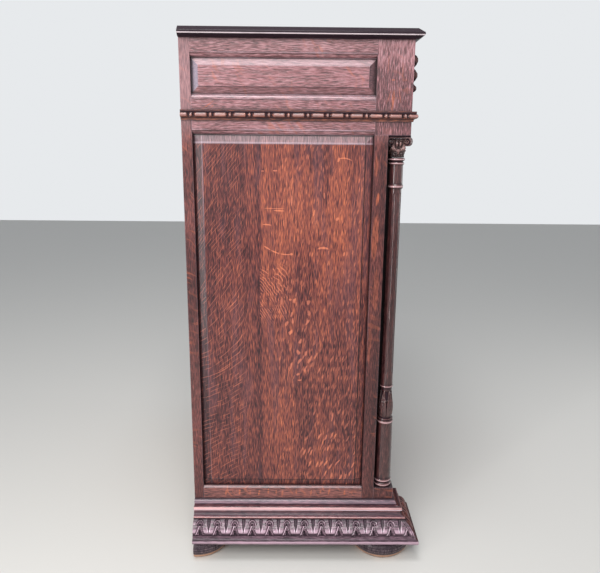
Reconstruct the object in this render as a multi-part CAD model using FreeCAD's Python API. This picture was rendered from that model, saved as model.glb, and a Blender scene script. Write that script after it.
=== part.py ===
import FreeCAD, Part
import math
import os

from FreeCAD import Vector

# Oak cabinet: one drawer over one door, free-standing corner columns, stepped plinth on bun feet.
# The origin is on the floor under the middle of the plinth. +Z is up, the front faces -Y, lengths in mm.

# Overall carcass, without its mouldings
carcass_width = 800.0
carcass_depth = 510.0
foot_height = 51.0
plinth_height = 94.0
pedestal_rise = 30.0
column_height = 880.0
frieze_height = 200.0
top_thickness = 22.0

# Mouldings that stand out from the carcass
plinth_reach = 61.0
plinth_base_height = 53.0
cap_reach = 29.5
top_overhang = 17.6
bead_reach = 12.3
bead_height = 22.0
bead_drop = 29.0

# Corner columns
column_setback = 50.0
column_radius = 23.0
capital_height = 49.0
capital_neck_radius = 17.0
abacus_width = 53.0
abacus_height = 6.5
abacus_corner = 7.0
volute_radius = 9.0
volute_width = 13.0
volute_offset = 19.0
volute_drop = 0.5
capital_notch_gap = 0.3
column_dowel_radius = 7.0
column_dowel_length = 22.0
dowel_clearance = 0.1

# Side frames and panels
frame_thickness = 26.0
rear_stile_width = 23.5
rear_stile_breadth = 45.0
front_stile_breadth = 60.0
lip_width = 5.5
lip_proud = 18.0
block_depth = 80.5
top_rail_height = 28.4
frieze_opening_height = 97.6
middle_rail_height = 64.0
bottom_rail_height = 33.0
bottom_rail_chamfer = 4.0
panel_setback = 10.0
panel_edge = 7.0
panel_field_setback = 3.0
panel_shoulder = 2.0
side_bevel = 20.0
frieze_bevel = 16.0
groove_depth = 8.0
panel_gap = 1.0
groove_clearance = 0.1
strip_height = 11.0
strip_proud = 1.5
tenon_thickness = 9.0
tenon_length = 16.0
tenon_shoulder = 5.0
tenon_clearance = 0.1

# Back frame
back_rail_height = 80.0
back_muntin_width = 70.0
back_panel_thickness = 8.0

# Front frame
front_rail_depth = 26.0
drawer_rail_height = 51.0
front_top_rail_height = 20.0
stop_section = 12.0

# Frieze ornament on each corner block
ornament_height = 87.5
ornament_width = 28.0
ornament_plate = 3.0
ornament_reach = 10.0
ornament_top_drop = 26.5
ornament_lobes = 3
lobe_overlap_share = 0.1

# Plinth boards and feet
plinth_board = 24.0
foot_radius = 77.0
rear_foot_inset = 8.0
spigot_radius = 11.0
spigot_length = 30.0
rear_dowel_inset_x = 12.0
rear_dowel_inset_y = 45.0
rear_dowel_radius = 7.0

# Floor, shelf, runners
board_thickness = 18.0
shelf_thickness = 20.0
shelf_rise = 455.0
shelf_setback = 20.0
cleat_height = 22.0
cleat_depth = 16.0
runner_width = 46.0
guide_height = 22.0
kicker_width = 34.0
kicker_clearance = 1.5
dust_board_thickness = 8.0
running_gap = 0.3

# Door
door_gap = 1.5
door_top_gap = 2.0
door_thickness = 26.0
door_stile_width = 60.0
door_rail_height = 66.0
door_panel_bevel = 24.0
door_strip_width = 10.0

# Barrel hinges
hinge_count = 2
hinge_end_distance = 130.0
knuckle_radius = 4.5
knuckle_length = 36.0
knuckle_gap = 0.3
pin_radius = 2.2
pin_clearance = 0.05
pin_head_radius = 3.4
pin_head_rise = 3.0
knuckle_stand_off = 5.0
leaf_thickness = 1.5
leaf_depth = 20.0
leaf_recess_clearance = 0.1

# Lock, bolt and key
lock_height = 80.0
lock_width = 50.0
lock_depth = 13.0
lock_proud = 2.0
lock_wall = 1.6
lock_clearance = 0.1
key_inset = 30.0
key_height = 450.0
key_shaft_radius = 3.0
key_hole_clearance = 0.4
key_bit_reach = 9.5
key_bit_width = 2.4
key_bit_length = 5.0
key_collar_radius = 4.6
key_collar_length = 3.0
key_stand_off = 16.0
key_bow_radius = 10.0
key_bow_wire = 2.2
bolt_height = 12.0
bolt_thickness = 5.0
bolt_length = 42.0
bolt_rise = 7.5
bolt_throw = 10.0
bolt_clearance = 0.4
talon_width = 17.0
talon_depth = 3.4
key_plate_height = 58.0
key_plate_width = 26.0
key_plate_thickness = 1.5
strike_height = 44.0
strike_width = 20.0
strike_thickness = 1.5

# Drawer
drawer_front_thickness = 22.0
drawer_front_setback = 5.0
drawer_front_gap = 1.5
drawer_side_thickness = 12.0
drawer_side_height = 110.0
drawer_back_thickness = 12.0
drawer_bottom_thickness = 7.0
drawer_bottom_rise = 12.0
drawer_bottom_groove = 6.0
drawer_rear_gap = 12.0
drawer_field_margin = 22.0
drawer_field_depth = 4.0

# Drop pulls
pull_spacing = 330.0
pull_pitch = 84.0
post_radius = 6.0
post_length = 15.0
rosette_radius = 15.0
rosette_thickness = 2.5
bail_wire_radius = 2.8
bail_bend = 9.0
bail_drop = 34.0
bail_hole_clearance = 0.05
bail_shoulder_gap = 0.4
pull_rise_share = 0.58

# One overrun for every cut that passes through
overrun = 5.0

# Outlines in shares of each moulding's reach and height. Four values are an arc, by way of a point.
top_edge_shares = [
    (0.0, 0.0), (0.2, 0.0), (0.5, 0.06, 0.8, 0.25), (0.93, 0.28), (1.0, 0.44, 0.93, 0.6),
    (0.86, 0.63), (0.62, 0.78, 0.26, 1.0), (0.0, 1.0),
]
plinth_base_shares = [
    (0.0, 0.0), (0.97, 0.0), (1.0, 0.04), (1.0, 0.16), (0.985, 0.2), (0.93, 0.21),
    (0.895, 0.25, 0.88, 0.345), (0.89, 0.365), (0.728, 0.72, 0.475, 0.985), (0.475, 1.0), (0.0, 1.0),
]
plinth_cap_shares = [
    (0.0, 0.0), (0.96, 0.0), (1.0, 0.04), (1.0, 0.1), (0.96, 0.13), (0.88, 0.135),
    (0.67, 0.22, 0.62, 0.4), (0.64, 0.42), (0.75, 0.5, 0.58, 0.6), (0.28, 0.62), (0.3, 0.65),
    (0.24, 0.85, 0.07, 0.97), (0.07, 1.0), (0.0, 1.0),
]
bead_shares = [
    (0.0, 0.0), (0.28, 0.0), (0.4, 0.22, 0.66, 0.3), (1.0, 0.52, 0.66, 0.76), (0.74, 0.8),
    (0.74, 1.0), (0.0, 1.0),
]
strip_shares = [
    (0.0, 0.0), (1.0, 0.0), (1.0, 0.18), (0.78, 0.2), (0.66, 0.62, 0.2, 0.9), (0.2, 1.0), (0.0, 1.0),
]

# Turned outlines, in shares of the largest radius and of the length
column_turning_shares = [
    (0.0, 0.0), (0.93, 0.0), (0.975, 0.006, 0.9, 0.012), (0.85, 0.0132), (0.85, 0.0144), (0.89, 0.015),
    (0.965, 0.0205, 0.9, 0.0259), (0.9, 0.0268), (0.915, 0.03), (0.88, 0.1745), (0.845, 0.207),
    (0.86, 0.2106), (0.885, 0.216, 0.83, 0.222), (0.78, 0.2228), (0.78, 0.224), (0.82, 0.2248),
    (0.85, 0.2262, 0.8, 0.2276), (0.68, 0.2284), (0.68, 0.2305), (0.72, 0.2322),
    (0.83, 0.2563, 0.745, 0.2852), (0.66, 0.2996, 0.6, 0.3165), (0.6, 0.3261), (0.66, 0.3266),
    (0.71, 0.3297, 0.66, 0.333),
    (0.655, 0.3345), (0.62, 0.4633), (0.61, 0.9158), (0.69, 0.9165), (0.75, 0.9224, 0.69, 0.928),
    (0.68, 0.929), (0.665, 0.9805), (0.7, 0.981), (0.76, 0.9844, 0.7, 0.988), (0.64, 0.989),
    (0.64, 0.9905), (0.7, 0.9915), (0.82, 0.9958, 0.7, 1.0), (0.0, 1.0),
]
bell_shares = [
    (0.0, 0.0), (1.0, 0.0), (1.03, 0.15), (1.15, 0.55, 1.48, 1.0), (0.0, 1.0),
]
foot_turning_shares = [
    (0.0, 0.0), (0.845, 0.0), (0.94, 0.15), (0.93, 0.18), (1.0, 0.42, 0.95, 0.7),
    (0.84, 0.86), (0.78, 0.9), (0.78, 1.0), (0.0, 1.0),
]

# Places worked out from the sizes above
half_width = carcass_width / 2
total_depth = carcass_depth + plinth_reach
back_y = total_depth / 2
front_y = back_y - carcass_depth
door_y = front_y + column_setback
plinth_top = foot_height + plinth_height
pedestal_top = plinth_top + pedestal_rise
column_top = pedestal_top + column_height
frieze_top = column_top + frieze_height
plinth_step = foot_height + plinth_base_height
column_x = half_width - column_setback / 2
column_y = front_y + column_setback / 2
inner_x = half_width - frame_thickness
stile_inner_x = half_width - front_stile_breadth
block_inner_x = half_width - column_setback
frame_back_y = front_y + block_depth
rear_stile_y = back_y - rear_stile_width
drawer_floor = column_top + drawer_rail_height
drawer_ceiling = frieze_top - front_top_rail_height
frieze_open_top = frieze_top - top_rail_height
frieze_open_bottom = frieze_open_top - frieze_opening_height
side_open_top = frieze_open_bottom - middle_rail_height
side_open_bottom = plinth_top + bottom_rail_height

made = []


def box(low, high):
    """A block between two opposite corners."""
    size = [b - a for a, b in zip(low, high)]
    return Part.makeBox(size[0], size[1], size[2], Vector(*low))


def rod(radius, length, foot, direction):
    """A round bar from its foot along a direction."""
    return Part.makeCylinder(radius, length, Vector(*foot), Vector(*direction))


def rectangle(*corners):
    """A closed wire through four corners."""
    return Part.makePolygon([Vector(*corner) for corner in corners + corners[:1]])


def outline(shares, reach, rise, place):
    """A closed wire from a table of shares. place turns a distance out and a height into a point."""
    edges = []
    start = place(shares[0][0] * reach, shares[0][1] * rise)
    first = start
    for step in shares[1:]:
        end = place(step[-2] * reach, step[-1] * rise)
        if len(step) > 2:
            via = place(step[0] * reach, step[1] * rise)
            edges.append(Part.Arc(start, via, end).toShape())
        else:
            edges.append(Part.LineSegment(start, end).toShape())
        start = end
    edges.append(Part.LineSegment(start, first).toShape())
    return Part.Wire(edges)


def turned(shares, radius, length, centre):
    """A solid of revolution about a vertical axis, standing on centre."""
    def place(r, z):
        return Vector(centre[0] + r, centre[1], centre[2] + z)
    face = Part.Face(outline(shares, radius, length, place))
    return face.revolve(Vector(*centre), Vector(0, 0, 1), 360)


def mirrored(shape):
    """The same piece on the other side of the cabinet."""
    return shape.mirror(Vector(0, 0, 0), Vector(1, 0, 0))


def pair(shape):
    """The left piece with its mirror image on the right."""
    return [shape, mirrored(shape)]


def write(name, solids):
    """Keep one sub-part as its own file of one or more separate solids."""
    solids = [s for shape in solids for s in shape.Solids]
    shape = solids[0] if len(solids) == 1 else Part.makeCompound(solids)
    shape.exportStep(os.path.join("parts", name + ".step"))
    made.append(name)


def run_round(shares, reach, height, low_z, plan):
    """A moulding that follows the plan of the carcass with mitred corners."""
    def place(p, z):
        return Vector(plan[0][0] - p, plan[0][1], low_z + z)
    path = Part.makePolygon([Vector(x, y, 0) for x, y in plan])
    return path.makePipeShell([outline(shares, reach, height, place)], True, False, 1)


def straight_plan():
    """The plan of the frieze and the top: left side, front, right side."""
    return [(-half_width, back_y), (-half_width, front_y), (half_width, front_y), (half_width, back_y)]


def stepped_plan():
    """The plan of the plinth, which breaks forward under each column."""
    outer = [(-half_width, back_y), (-half_width, front_y)]
    left = outer + [(-block_inner_x, front_y), (-block_inner_x, door_y)]
    return left + [(-x, y) for x, y in reversed(left)]


def split_at_mitres(moulding, low_z, height):
    """The left length and the front length of a moulding, parted on the corner's diagonal."""
    far = plinth_reach + overrun
    corner = Vector(-half_width, front_y, low_z - overrun)
    outside = [
        corner,
        Vector(-half_width - far, front_y - far, corner.z),
        Vector(-half_width - far, back_y + overrun, corner.z),
        Vector(-half_width, back_y + overrun, corner.z),
        corner,
    ]
    face = Part.Face(Part.makePolygon(outside))
    wedge = face.extrude(Vector(0, 0, height + overrun * 2))
    side = moulding.common(wedge)
    front = moulding.cut(wedge).cut(mirrored(wedge))
    return side, front


def fielded_panel(width, height, bevel, thickness_behind, margin=0, end_margins=(0, 0)):
    """A panel with a raised field, lying on XY with its show side up and its tongue all round.

    Its bevels start past the margins, which are kept flat for the strips at its sides, foot and head."""
    tongue = groove_depth - panel_gap
    half_w = width / 2
    half_h = height / 2
    sheet = box((-half_w - tongue, -half_h - tongue, -thickness_behind),
                (half_w + tongue, half_h + tongue, 0))
    slope = panel_setback - panel_field_setback - panel_shoulder
    wires = []
    for inset, z in ((0, 0), (bevel, slope)):
        x = half_w - margin - inset
        low = -half_h + end_margins[0] + inset
        high = half_h - end_margins[1] - inset
        wires.append(rectangle((-x, low, z), (x, low, z), (x, high, z), (-x, high, z)))
    pyramid = Part.makeLoft(wires, True, True)
    field = box((-x, low, 0), (x, high, slope + panel_shoulder))
    return sheet.fuse(pyramid).fuse(field).removeSplitter()


def stand_facing_left(shape, y, z):
    """Stand a flat-lying shape up in the left side frame, its show side to -X, centred at y and z."""
    turn = FreeCAD.Rotation(Vector(0, -1, 0), Vector(0, 0, 1), Vector(-1, 0, 0))
    return shape.transformed(FreeCAD.Placement(Vector(-half_width + panel_setback, y, z), turn).toMatrix())


def stand_facing_front(shape, x, y, z):
    """Stand a flat-lying shape up with its show side to -Y."""
    turn = FreeCAD.Rotation(Vector(1, 0, 0), Vector(0, 0, 1), Vector(0, -1, 0))
    return shape.transformed(FreeCAD.Placement(Vector(x, y, z), turn).toMatrix())


def side_groove(low_y, high_y, low_z, high_z):
    """The space that one side panel's tongue takes out of the left frame, with its clearance."""
    near = -half_width + panel_setback - groove_clearance
    return box((near, low_y - groove_depth, low_z - groove_depth),
               (near + panel_edge + groove_clearance * 2, high_y + groove_depth, high_z + groove_depth))


def side_grooves():
    """Both grooves of the left side: round the frieze panel and round the tall panel."""
    return [
        side_groove(frame_back_y, rear_stile_y, frieze_open_bottom, frieze_open_top),
        side_groove(frame_back_y, rear_stile_y, side_open_bottom, side_open_top),
    ]


def tenon(end_y, toward, low_z, high_z, clearance):
    """A rail's tenon past end_y, or with a clearance the mortise for it. toward is 1 to the back."""
    middle_x = -half_width + frame_thickness - tenon_thickness
    reach = tenon_length + clearance * 2
    ends = sorted((end_y, end_y + toward * reach))
    return box((middle_x - clearance, ends[0], low_z + tenon_shoulder - clearance),
               (middle_x + tenon_thickness / 2 + clearance, ends[1], high_z - tenon_shoulder + clearance))


def rail_levels():
    """Each side rail's bottom and top."""
    return {
        "top": (frieze_open_top, frieze_top),
        "middle": (side_open_top, frieze_open_bottom),
        "bottom": (plinth_top, side_open_bottom),
    }


def side_rail(name):
    """A left side rail with a tenon at each end and the panel grooves ploughed in it."""
    low, high = rail_levels()[name]
    rail = box((-half_width, frame_back_y, low), (-half_width + frame_thickness, rear_stile_y, high))
    if name == "bottom":
        edge = [e for e in rail.Edges if e.BoundBox.XMax < -half_width + groove_clearance
                and e.BoundBox.ZMin > high - groove_clearance]
        rail = rail.makeChamfer(bottom_rail_chamfer, edge)
    rail = rail.fuse(tenon(rear_stile_y, 1, low, high, 0)).fuse(tenon(frame_back_y, -1, low, high, 0))
    for groove in side_grooves():
        rail = rail.cut(groove)
    return rail


def cut_mortises(stile, toward):
    """Take every side rail's mortise and the panel grooves out of a left stile."""
    end = rear_stile_y if toward > 0 else frame_back_y
    for low, high in rail_levels().values():
        stile = stile.cut(tenon(end, toward, low, high, tenon_clearance))
    for groove in side_grooves():
        stile = stile.cut(groove)
    return stile


def rear_stile():
    """The left rear stile, grooved for the side panels and for the back panels."""
    stile = box((-half_width, rear_stile_y, plinth_top),
                (-half_width + rear_stile_breadth, back_y, frieze_top))
    stile = cut_mortises(stile, 1)
    return stile.cut(back_groove(-half_width + rear_stile_breadth))


def back_levels():
    """The back frame's opening: its low and high edge."""
    return plinth_top + back_rail_height, frieze_top - back_rail_height


def back_groove(edge_x):
    """The groove for the back panels, taken as one slab across the whole back frame."""
    low, high = back_levels()
    y = (rear_stile_y + back_y - back_panel_thickness) / 2
    return box((edge_x - groove_depth, y - groove_clearance, low - groove_depth),
               (-edge_x + groove_depth, y + back_panel_thickness + groove_clearance, high + groove_depth))


def stile_post():
    """The left front stile's plain bar, from the plinth to the frieze block."""
    return box((-half_width, door_y, plinth_top), (-stile_inner_x, frame_back_y, column_top))


def stile_lip(clearance):
    """The upright lip that frames the door, behind the column, or the room it takes."""
    return box((-block_inner_x - clearance, door_y - lip_proud - clearance, plinth_top),
               (-block_inner_x + lip_width + clearance, door_y + clearance, column_top))


def front_stile():
    """The left front stile behind the column, mortised for the rails, with its lip."""
    return cut_mortises(stile_post(), -1).fuse(stile_lip(0)).removeSplitter()


def frieze_block():
    """The left corner block of the frieze, which stands on the capital and the front stile."""
    block = box((-half_width, front_y, column_top), (-block_inner_x, frame_back_y, frieze_top))
    block = cut_mortises(block, -1)
    return block.cut(column_dowel(column_top, dowel_clearance))


def column_dowel(seat_z, clearance):
    """The dowel that centres a column or its capital at the left corner, across one seat."""
    return rod(column_dowel_radius + clearance, column_dowel_length + clearance * 2,
               (-column_x, column_y, seat_z - clearance), (0, 0, 1))


def column():
    """The left column: base rings, drum, leaf bulb, shaft and necking, with a dowel at its foot."""
    length = column_height - capital_height
    post = turned(column_turning_shares, column_radius, length, (-column_x, column_y, pedestal_top))
    return post.fuse(rod(column_dowel_radius, column_dowel_length,
                         (-column_x, column_y, pedestal_top), (0, 0, -1)))


def capital():
    """The left capital: a bell with four corner volutes under its abacus."""
    base_z = column_top - capital_height
    bell = turned(bell_shares, capital_neck_radius, capital_height - abacus_height,
                  (-column_x, column_y, base_z))
    half = abacus_width / 2
    slab_z = column_top - abacus_height
    slab = box((-column_x - half, column_y - half, slab_z), (-column_x + half, column_y + half, column_top))
    corners = [e for e in slab.Edges if e.BoundBox.ZLength > abacus_height / 2]
    slab = slab.makeChamfer(abacus_corner, corners)
    shape = bell.fuse(slab)
    for turn in (45, 135, 225, 315):
        direction = Vector(math.cos(math.radians(turn)), math.sin(math.radians(turn)), 0)
        across = Vector(-direction.y, direction.x, 0)
        centre = Vector(-column_x, column_y, slab_z - volute_radius - volute_drop)
        centre = centre + direction * volute_offset * math.sqrt(2)
        start = centre - across * (volute_width / 2)
        scroll = Part.makeCylinder(volute_radius, volute_width, start, across)
        stem_low = start - direction * volute_offset
        stem = Part.makePolygon([stem_low, start, start + Vector(0, 0, volute_radius + volute_drop),
                                 stem_low + Vector(0, 0, volute_radius + volute_drop), stem_low])
        web = Part.Face(stem).extrude(across * volute_width)
        shape = shape.fuse(scroll).fuse(web)
    notch = box((-half_width - capital_notch_gap, door_y - capital_notch_gap, base_z),
                (-stile_inner_x, door_y + abacus_width, column_top))
    shape = shape.cut(notch).cut(stile_lip(capital_notch_gap))
    return shape.fuse(column_dowel(column_top, 0)).removeSplitter()


def pedestal():
    """The left pedestal block: it runs down through the plinth to the front foot."""
    block = box((-half_width, front_y, foot_height), (-block_inner_x, door_y, pedestal_top))
    seat = rod(column_dowel_radius + dowel_clearance, column_dowel_length + dowel_clearance,
               (-column_x, column_y, pedestal_top), (0, 0, -1))
    socket = rod(spigot_radius + dowel_clearance, spigot_length + dowel_clearance,
                 (-column_x, column_y, foot_height), (0, 0, 1))
    return block.cut(seat).cut(socket)


def front_foot():
    """The left front bun foot with the spigot that holds it in the pedestal."""
    bun = turned(foot_turning_shares, foot_radius, foot_height, (-column_x, column_y, 0))
    return bun.fuse(rod(spigot_radius, spigot_length, (-column_x, column_y, foot_height), (0, 0, 1)))


def rear_dowel(clearance):
    """The dowel that holds the left rear foot under the plinth's side board."""
    foot = (-half_width + rear_dowel_inset_x, back_y - rear_dowel_inset_y, foot_height)
    return rod(rear_dowel_radius + clearance, spigot_length + clearance, foot, (0, 0, 1))


def rear_foot():
    """The left rear bun foot, cut flat in line with the back."""
    bun = turned(foot_turning_shares, foot_radius, foot_height, (-column_x, back_y - rear_foot_inset, 0))
    behind = box((-half_width - foot_radius, back_y, -overrun),
                 (0, back_y + foot_radius, foot_height + overrun))
    return bun.cut(behind).fuse(rear_dowel(0))


def ornament():
    """The left frieze ornament: carved lobes hanging one below the other on a thin plate."""
    high = frieze_top - ornament_top_drop
    low = high - ornament_height
    half = ornament_width / 2
    shape = box((-column_x - half, front_y - ornament_plate, low), (-column_x + half, front_y, high))
    rise = ornament_height / ornament_lobes
    radius = rise * (1 + lobe_overlap_share) / 2
    for i in range(ornament_lobes):
        centre = Vector(-column_x, front_y + radius - ornament_reach, low + rise * i + rise / 2)
        shape = shape.fuse(Part.makeSphere(radius, centre))
    kept = box((-half_width, front_y - ornament_reach - overrun, low), (0, front_y, high))
    return shape.common(kept).removeSplitter()


def strip(z, up):
    """A moulded strip in the left side, stuck under a rail or on one. up is 1 where the rail is above."""
    depth = panel_setback + strip_proud

    def place(p, h):
        return Vector(-half_width + panel_setback - p, frame_back_y, z - h * up)
    face = Part.Face(outline(strip_shares, depth, strip_height, place))
    return face.extrude(Vector(0, rear_stile_y - frame_back_y, 0))


def front_strips(width, height, centre_z, setback_y):
    """The four mitred strips round the door's panel."""
    half_w = width / 2
    half_h = height / 2
    plan = [(-half_w, -half_h), (half_w, -half_h), (half_w, half_h), (-half_w, half_h)]
    bars = []
    for i in range(len(plan)):
        a = Vector(plan[i][0], plan[i][1], 0)
        b = Vector(plan[(i + 1) % len(plan)][0], plan[(i + 1) % len(plan)][1], 0)
        along = (b - a).normalize()
        inward = Vector(-along.y, along.x, 0)

        def place(p, h):
            return a + inward * h + Vector(0, 0, p)
        bar = Part.Face(outline(strip_shares, panel_setback, door_strip_width, place)).extrude(b - a)
        corner_a = a + (along + inward) * (half_w / 2)
        corner_b = b + (inward - along) * (half_w / 2)
        cell = Part.Face(Part.makePolygon([a, b, corner_b, corner_a, a]))
        bars.append(bar.common(cell.extrude(Vector(0, 0, panel_setback * 2))))
    return [stand_facing_front(bar, 0, setback_y, centre_z) for bar in bars]


# The door stands between the stiles, behind the columns, hinged at the right
door_low = pedestal_top + door_top_gap
door_high = column_top - door_top_gap
door_half = stile_inner_x - door_gap
door_back = door_y + door_thickness
panel_half = door_half - door_stile_width
panel_low = door_low + door_rail_height
panel_high = door_high - door_rail_height
hinge_x = stile_inner_x - door_gap / 2
hinge_y = door_y - knuckle_stand_off
hinge_pitch = (door_high - door_low - hinge_end_distance * 2) / (hinge_count - 1)
hinge_levels = [door_low + hinge_end_distance + hinge_pitch * i for i in range(hinge_count)]
key_x = -door_half + key_inset
key_z = pedestal_top + key_height
lock_face = door_back + lock_proud - lock_depth
bolt_low = key_z + bolt_rise
bolt_y = lock_face + lock_wall + bolt_clearance


def door_groove():
    """The space that the door panel's tongue takes, with its clearance."""
    near = door_y + panel_setback - groove_clearance
    far = near + panel_edge + groove_clearance * 2
    return box((-panel_half - groove_depth, near, panel_low - groove_depth),
               (panel_half + groove_depth, far, panel_high + groove_depth))


def door_tenon(side, low, high, clearance):
    """A door rail's tenon into one stile, or its mortise."""
    reach = tenon_length * 2 + clearance * 2
    ends = sorted((side * panel_half, side * (panel_half + reach)))
    near = door_back - tenon_thickness
    return box((ends[0], near - clearance, low + groove_depth - clearance),
               (ends[1], near + tenon_thickness / 2 + clearance, high - groove_depth + clearance))


def door_rails():
    """The door's bottom and top rail, tenoned at both ends."""
    rails = []
    for low, high in ((door_low, panel_low), (panel_high, door_high)):
        rail = box((-panel_half, door_y, low), (panel_half, door_back, high))
        for side in (-1, 1):
            rail = rail.fuse(door_tenon(side, low, high, 0))
        rails.append(rail.cut(door_groove()))
    return rails


def door_stile(side):
    """One stile of the door. side is -1 at the lock and 1 at the hinges."""
    ends = sorted((side * panel_half, side * door_half))
    stile = box((ends[0], door_y, door_low), (ends[1], door_back, door_high)).cut(door_groove())
    for low, high in ((door_low, panel_low), (panel_high, door_high)):
        stile = stile.cut(door_tenon(side, low, high, tenon_clearance))
    return stile


def lock_block(clearance):
    """The outer block of the lock case, or with a clearance its bed in the stile."""
    low = key_z - lock_height / 2 - clearance
    high = key_z + lock_height / 2 + clearance
    return box((-door_half, lock_face - clearance, low),
               (-door_half + lock_width + clearance, door_back + lock_proud, high))


def key_slot(clearance, start_y, length):
    """A keyhole along Y: a round hole for the shaft and a slot below it for the bit."""
    width = key_bit_width / 2 + clearance
    hole = rod(key_shaft_radius + clearance, length, (key_x, start_y, key_z), (0, 1, 0))
    slot = box((key_x - width, start_y, key_z - key_bit_reach - clearance),
               (key_x + width, start_y + length, key_z))
    return hole.fuse(slot)


def lock_case():
    """The hollow lock case, with a keyhole in its face and the bolt's window in its edge."""
    shell = lock_block(0)
    room = box((-door_half + lock_wall, lock_face + lock_wall, key_z - lock_height / 2 + lock_wall),
               (-door_half + lock_width - lock_wall, door_back + lock_proud - lock_wall,
                key_z + lock_height / 2 - lock_wall))
    window = bolt_bar(bolt_clearance / 2, -door_half - overrun, -door_half + lock_wall + overrun)
    keyhole = key_slot(key_hole_clearance, lock_face - overrun, lock_wall + overrun * 2)
    return shell.cut(room).cut(window).cut(keyhole)


def bolt_bar(clearance, low_x, high_x):
    """The bolt's straight bar between two ends, or the hole that it slides in."""
    return box((low_x, bolt_y - clearance, bolt_low - clearance),
               (high_x, bolt_y + bolt_thickness + clearance, bolt_low + bolt_height + clearance))


def lock_bolt():
    """The bolt, drawn back. A notch in its underside takes the key's bit at the top of its turn."""
    bar = bolt_bar(0, -door_half, -door_half + bolt_length)
    middle = key_x + bolt_throw / 2
    notch = box((middle - talon_width / 2, bolt_y - overrun, bolt_low - overrun),
                (middle + talon_width / 2, bolt_y + bolt_thickness + overrun, bolt_low + talon_depth))
    return bar.cut(notch)


def door_key():
    """The key: bow, collar and shaft outside, its bit hanging down inside the lock case."""
    tip = bolt_y + bolt_thickness
    start = door_y - key_stand_off
    shaft = rod(key_shaft_radius, tip - start, (key_x, start, key_z), (0, 1, 0))
    collar_y = door_y - key_plate_thickness - key_collar_length - key_hole_clearance
    collar = rod(key_collar_radius, key_collar_length, (key_x, collar_y, key_z), (0, 1, 0))
    half = key_bit_width / 2
    bit = box((key_x - half, bolt_y, key_z - key_bit_reach), (key_x + half, bolt_y + key_bit_length, key_z))
    ring_centre = Vector(key_x, start - key_bow_radius + key_bow_wire / 2, key_z)
    bow = Part.makeTorus(key_bow_radius - key_bow_wire, key_bow_wire, ring_centre, Vector(1, 0, 0))
    return shaft.fuse(collar).fuse(bit).fuse(bow)


def key_plate():
    """The plate round the keyhole on the front of the door."""
    half = key_plate_width / 2
    low = key_z - key_plate_height / 2
    plate = box((key_x - half, door_y - key_plate_thickness, low),
                (key_x + half, door_y, low + key_plate_height))
    corners = [e for e in plate.Edges if e.BoundBox.YLength > key_plate_thickness / 2]
    plate = plate.makeFillet(half * (1 - lobe_overlap_share), corners)
    return plate.cut(key_slot(key_hole_clearance, door_y - overrun, overrun * 2))


def strike_plate(clearance):
    """The strike plate on the left front stile, or with a clearance its bed."""
    middle_z = bolt_low + bolt_height / 2
    middle_y = bolt_y + bolt_thickness / 2
    high_y = min(middle_y + strike_width / 2, frame_back_y - strike_thickness)
    return box((-stile_inner_x - strike_thickness, high_y - strike_width - clearance,
                middle_z - strike_height / 2 - clearance),
               (-stile_inner_x, high_y + clearance, middle_z + strike_height / 2 + clearance))


def strike_mortise():
    """The hole in the stile that the bolt enters."""
    return bolt_bar(bolt_clearance, -door_half - bolt_throw - bolt_clearance * 2, -stile_inner_x + overrun)


def knuckle(z, up):
    """Half of a barrel hinge, above or below its joint, bored for the pin."""
    start = (hinge_x, hinge_y, z + up * knuckle_gap / 2)
    return rod(knuckle_radius, knuckle_length, start, (0, 0, up))


def hinge_leaf(z, up, clearance):
    """The leaf of one knuckle, let into the edge of the stile or of the door."""
    side = stile_inner_x if up < 0 else door_half
    low_x = side if up < 0 else side - leaf_thickness
    low_z = min(z + up * knuckle_gap / 2, z + up * (knuckle_gap / 2 + knuckle_length))
    return box((low_x - clearance, hinge_y + knuckle_radius / 2, low_z - clearance),
               (low_x + leaf_thickness + clearance, door_y + leaf_depth + clearance,
                low_z + knuckle_length + clearance))


def hinge_arm(z, up):
    """The short bend that joins a leaf to its knuckle, in the gap between door and stile."""
    side = stile_inner_x if up < 0 else door_half
    low_x = side if up < 0 else side - leaf_thickness
    low_z = min(z + up * knuckle_gap / 2, z + up * (knuckle_gap / 2 + knuckle_length))
    return box((low_x, hinge_y, low_z), (low_x + leaf_thickness, door_y, low_z + knuckle_length))


def hinge_half(up):
    """Both hinges' halves: up is -1 for those on the stile and 1 for those on the door."""
    halves = []
    for z in hinge_levels:
        leaf = hinge_leaf(z, up, 0).fuse(hinge_arm(z, up)).fuse(knuckle(z, up))
        clearance = pin_clearance if up > 0 else 0
        bore = rod(pin_radius + clearance, knuckle_length * 2 + overrun * 2,
                   (hinge_x, hinge_y, z - knuckle_length - overrun), (0, 0, 1))
        halves.append(leaf.cut(bore))
    return halves


def hinge_pins():
    """The two hinge pins, each with a round head at both ends."""
    pins = []
    reach = knuckle_length + knuckle_gap
    for z in hinge_levels:
        pin = rod(pin_radius, reach * 2, (hinge_x, hinge_y, z - reach), (0, 0, 1))
        for way in (-1, 1):
            head = rod(pin_head_radius, pin_head_rise, (hinge_x, hinge_y, z + way * reach), (0, 0, way))
            pin = pin.fuse(head)
        pins.append(pin)
    return pins


def cut_hinge_beds(shape, up):
    """Take the beds of the hinge leaves out of a stile."""
    for z in hinge_levels:
        shape = shape.cut(hinge_leaf(z, up, leaf_recess_clearance))
    return shape


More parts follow.
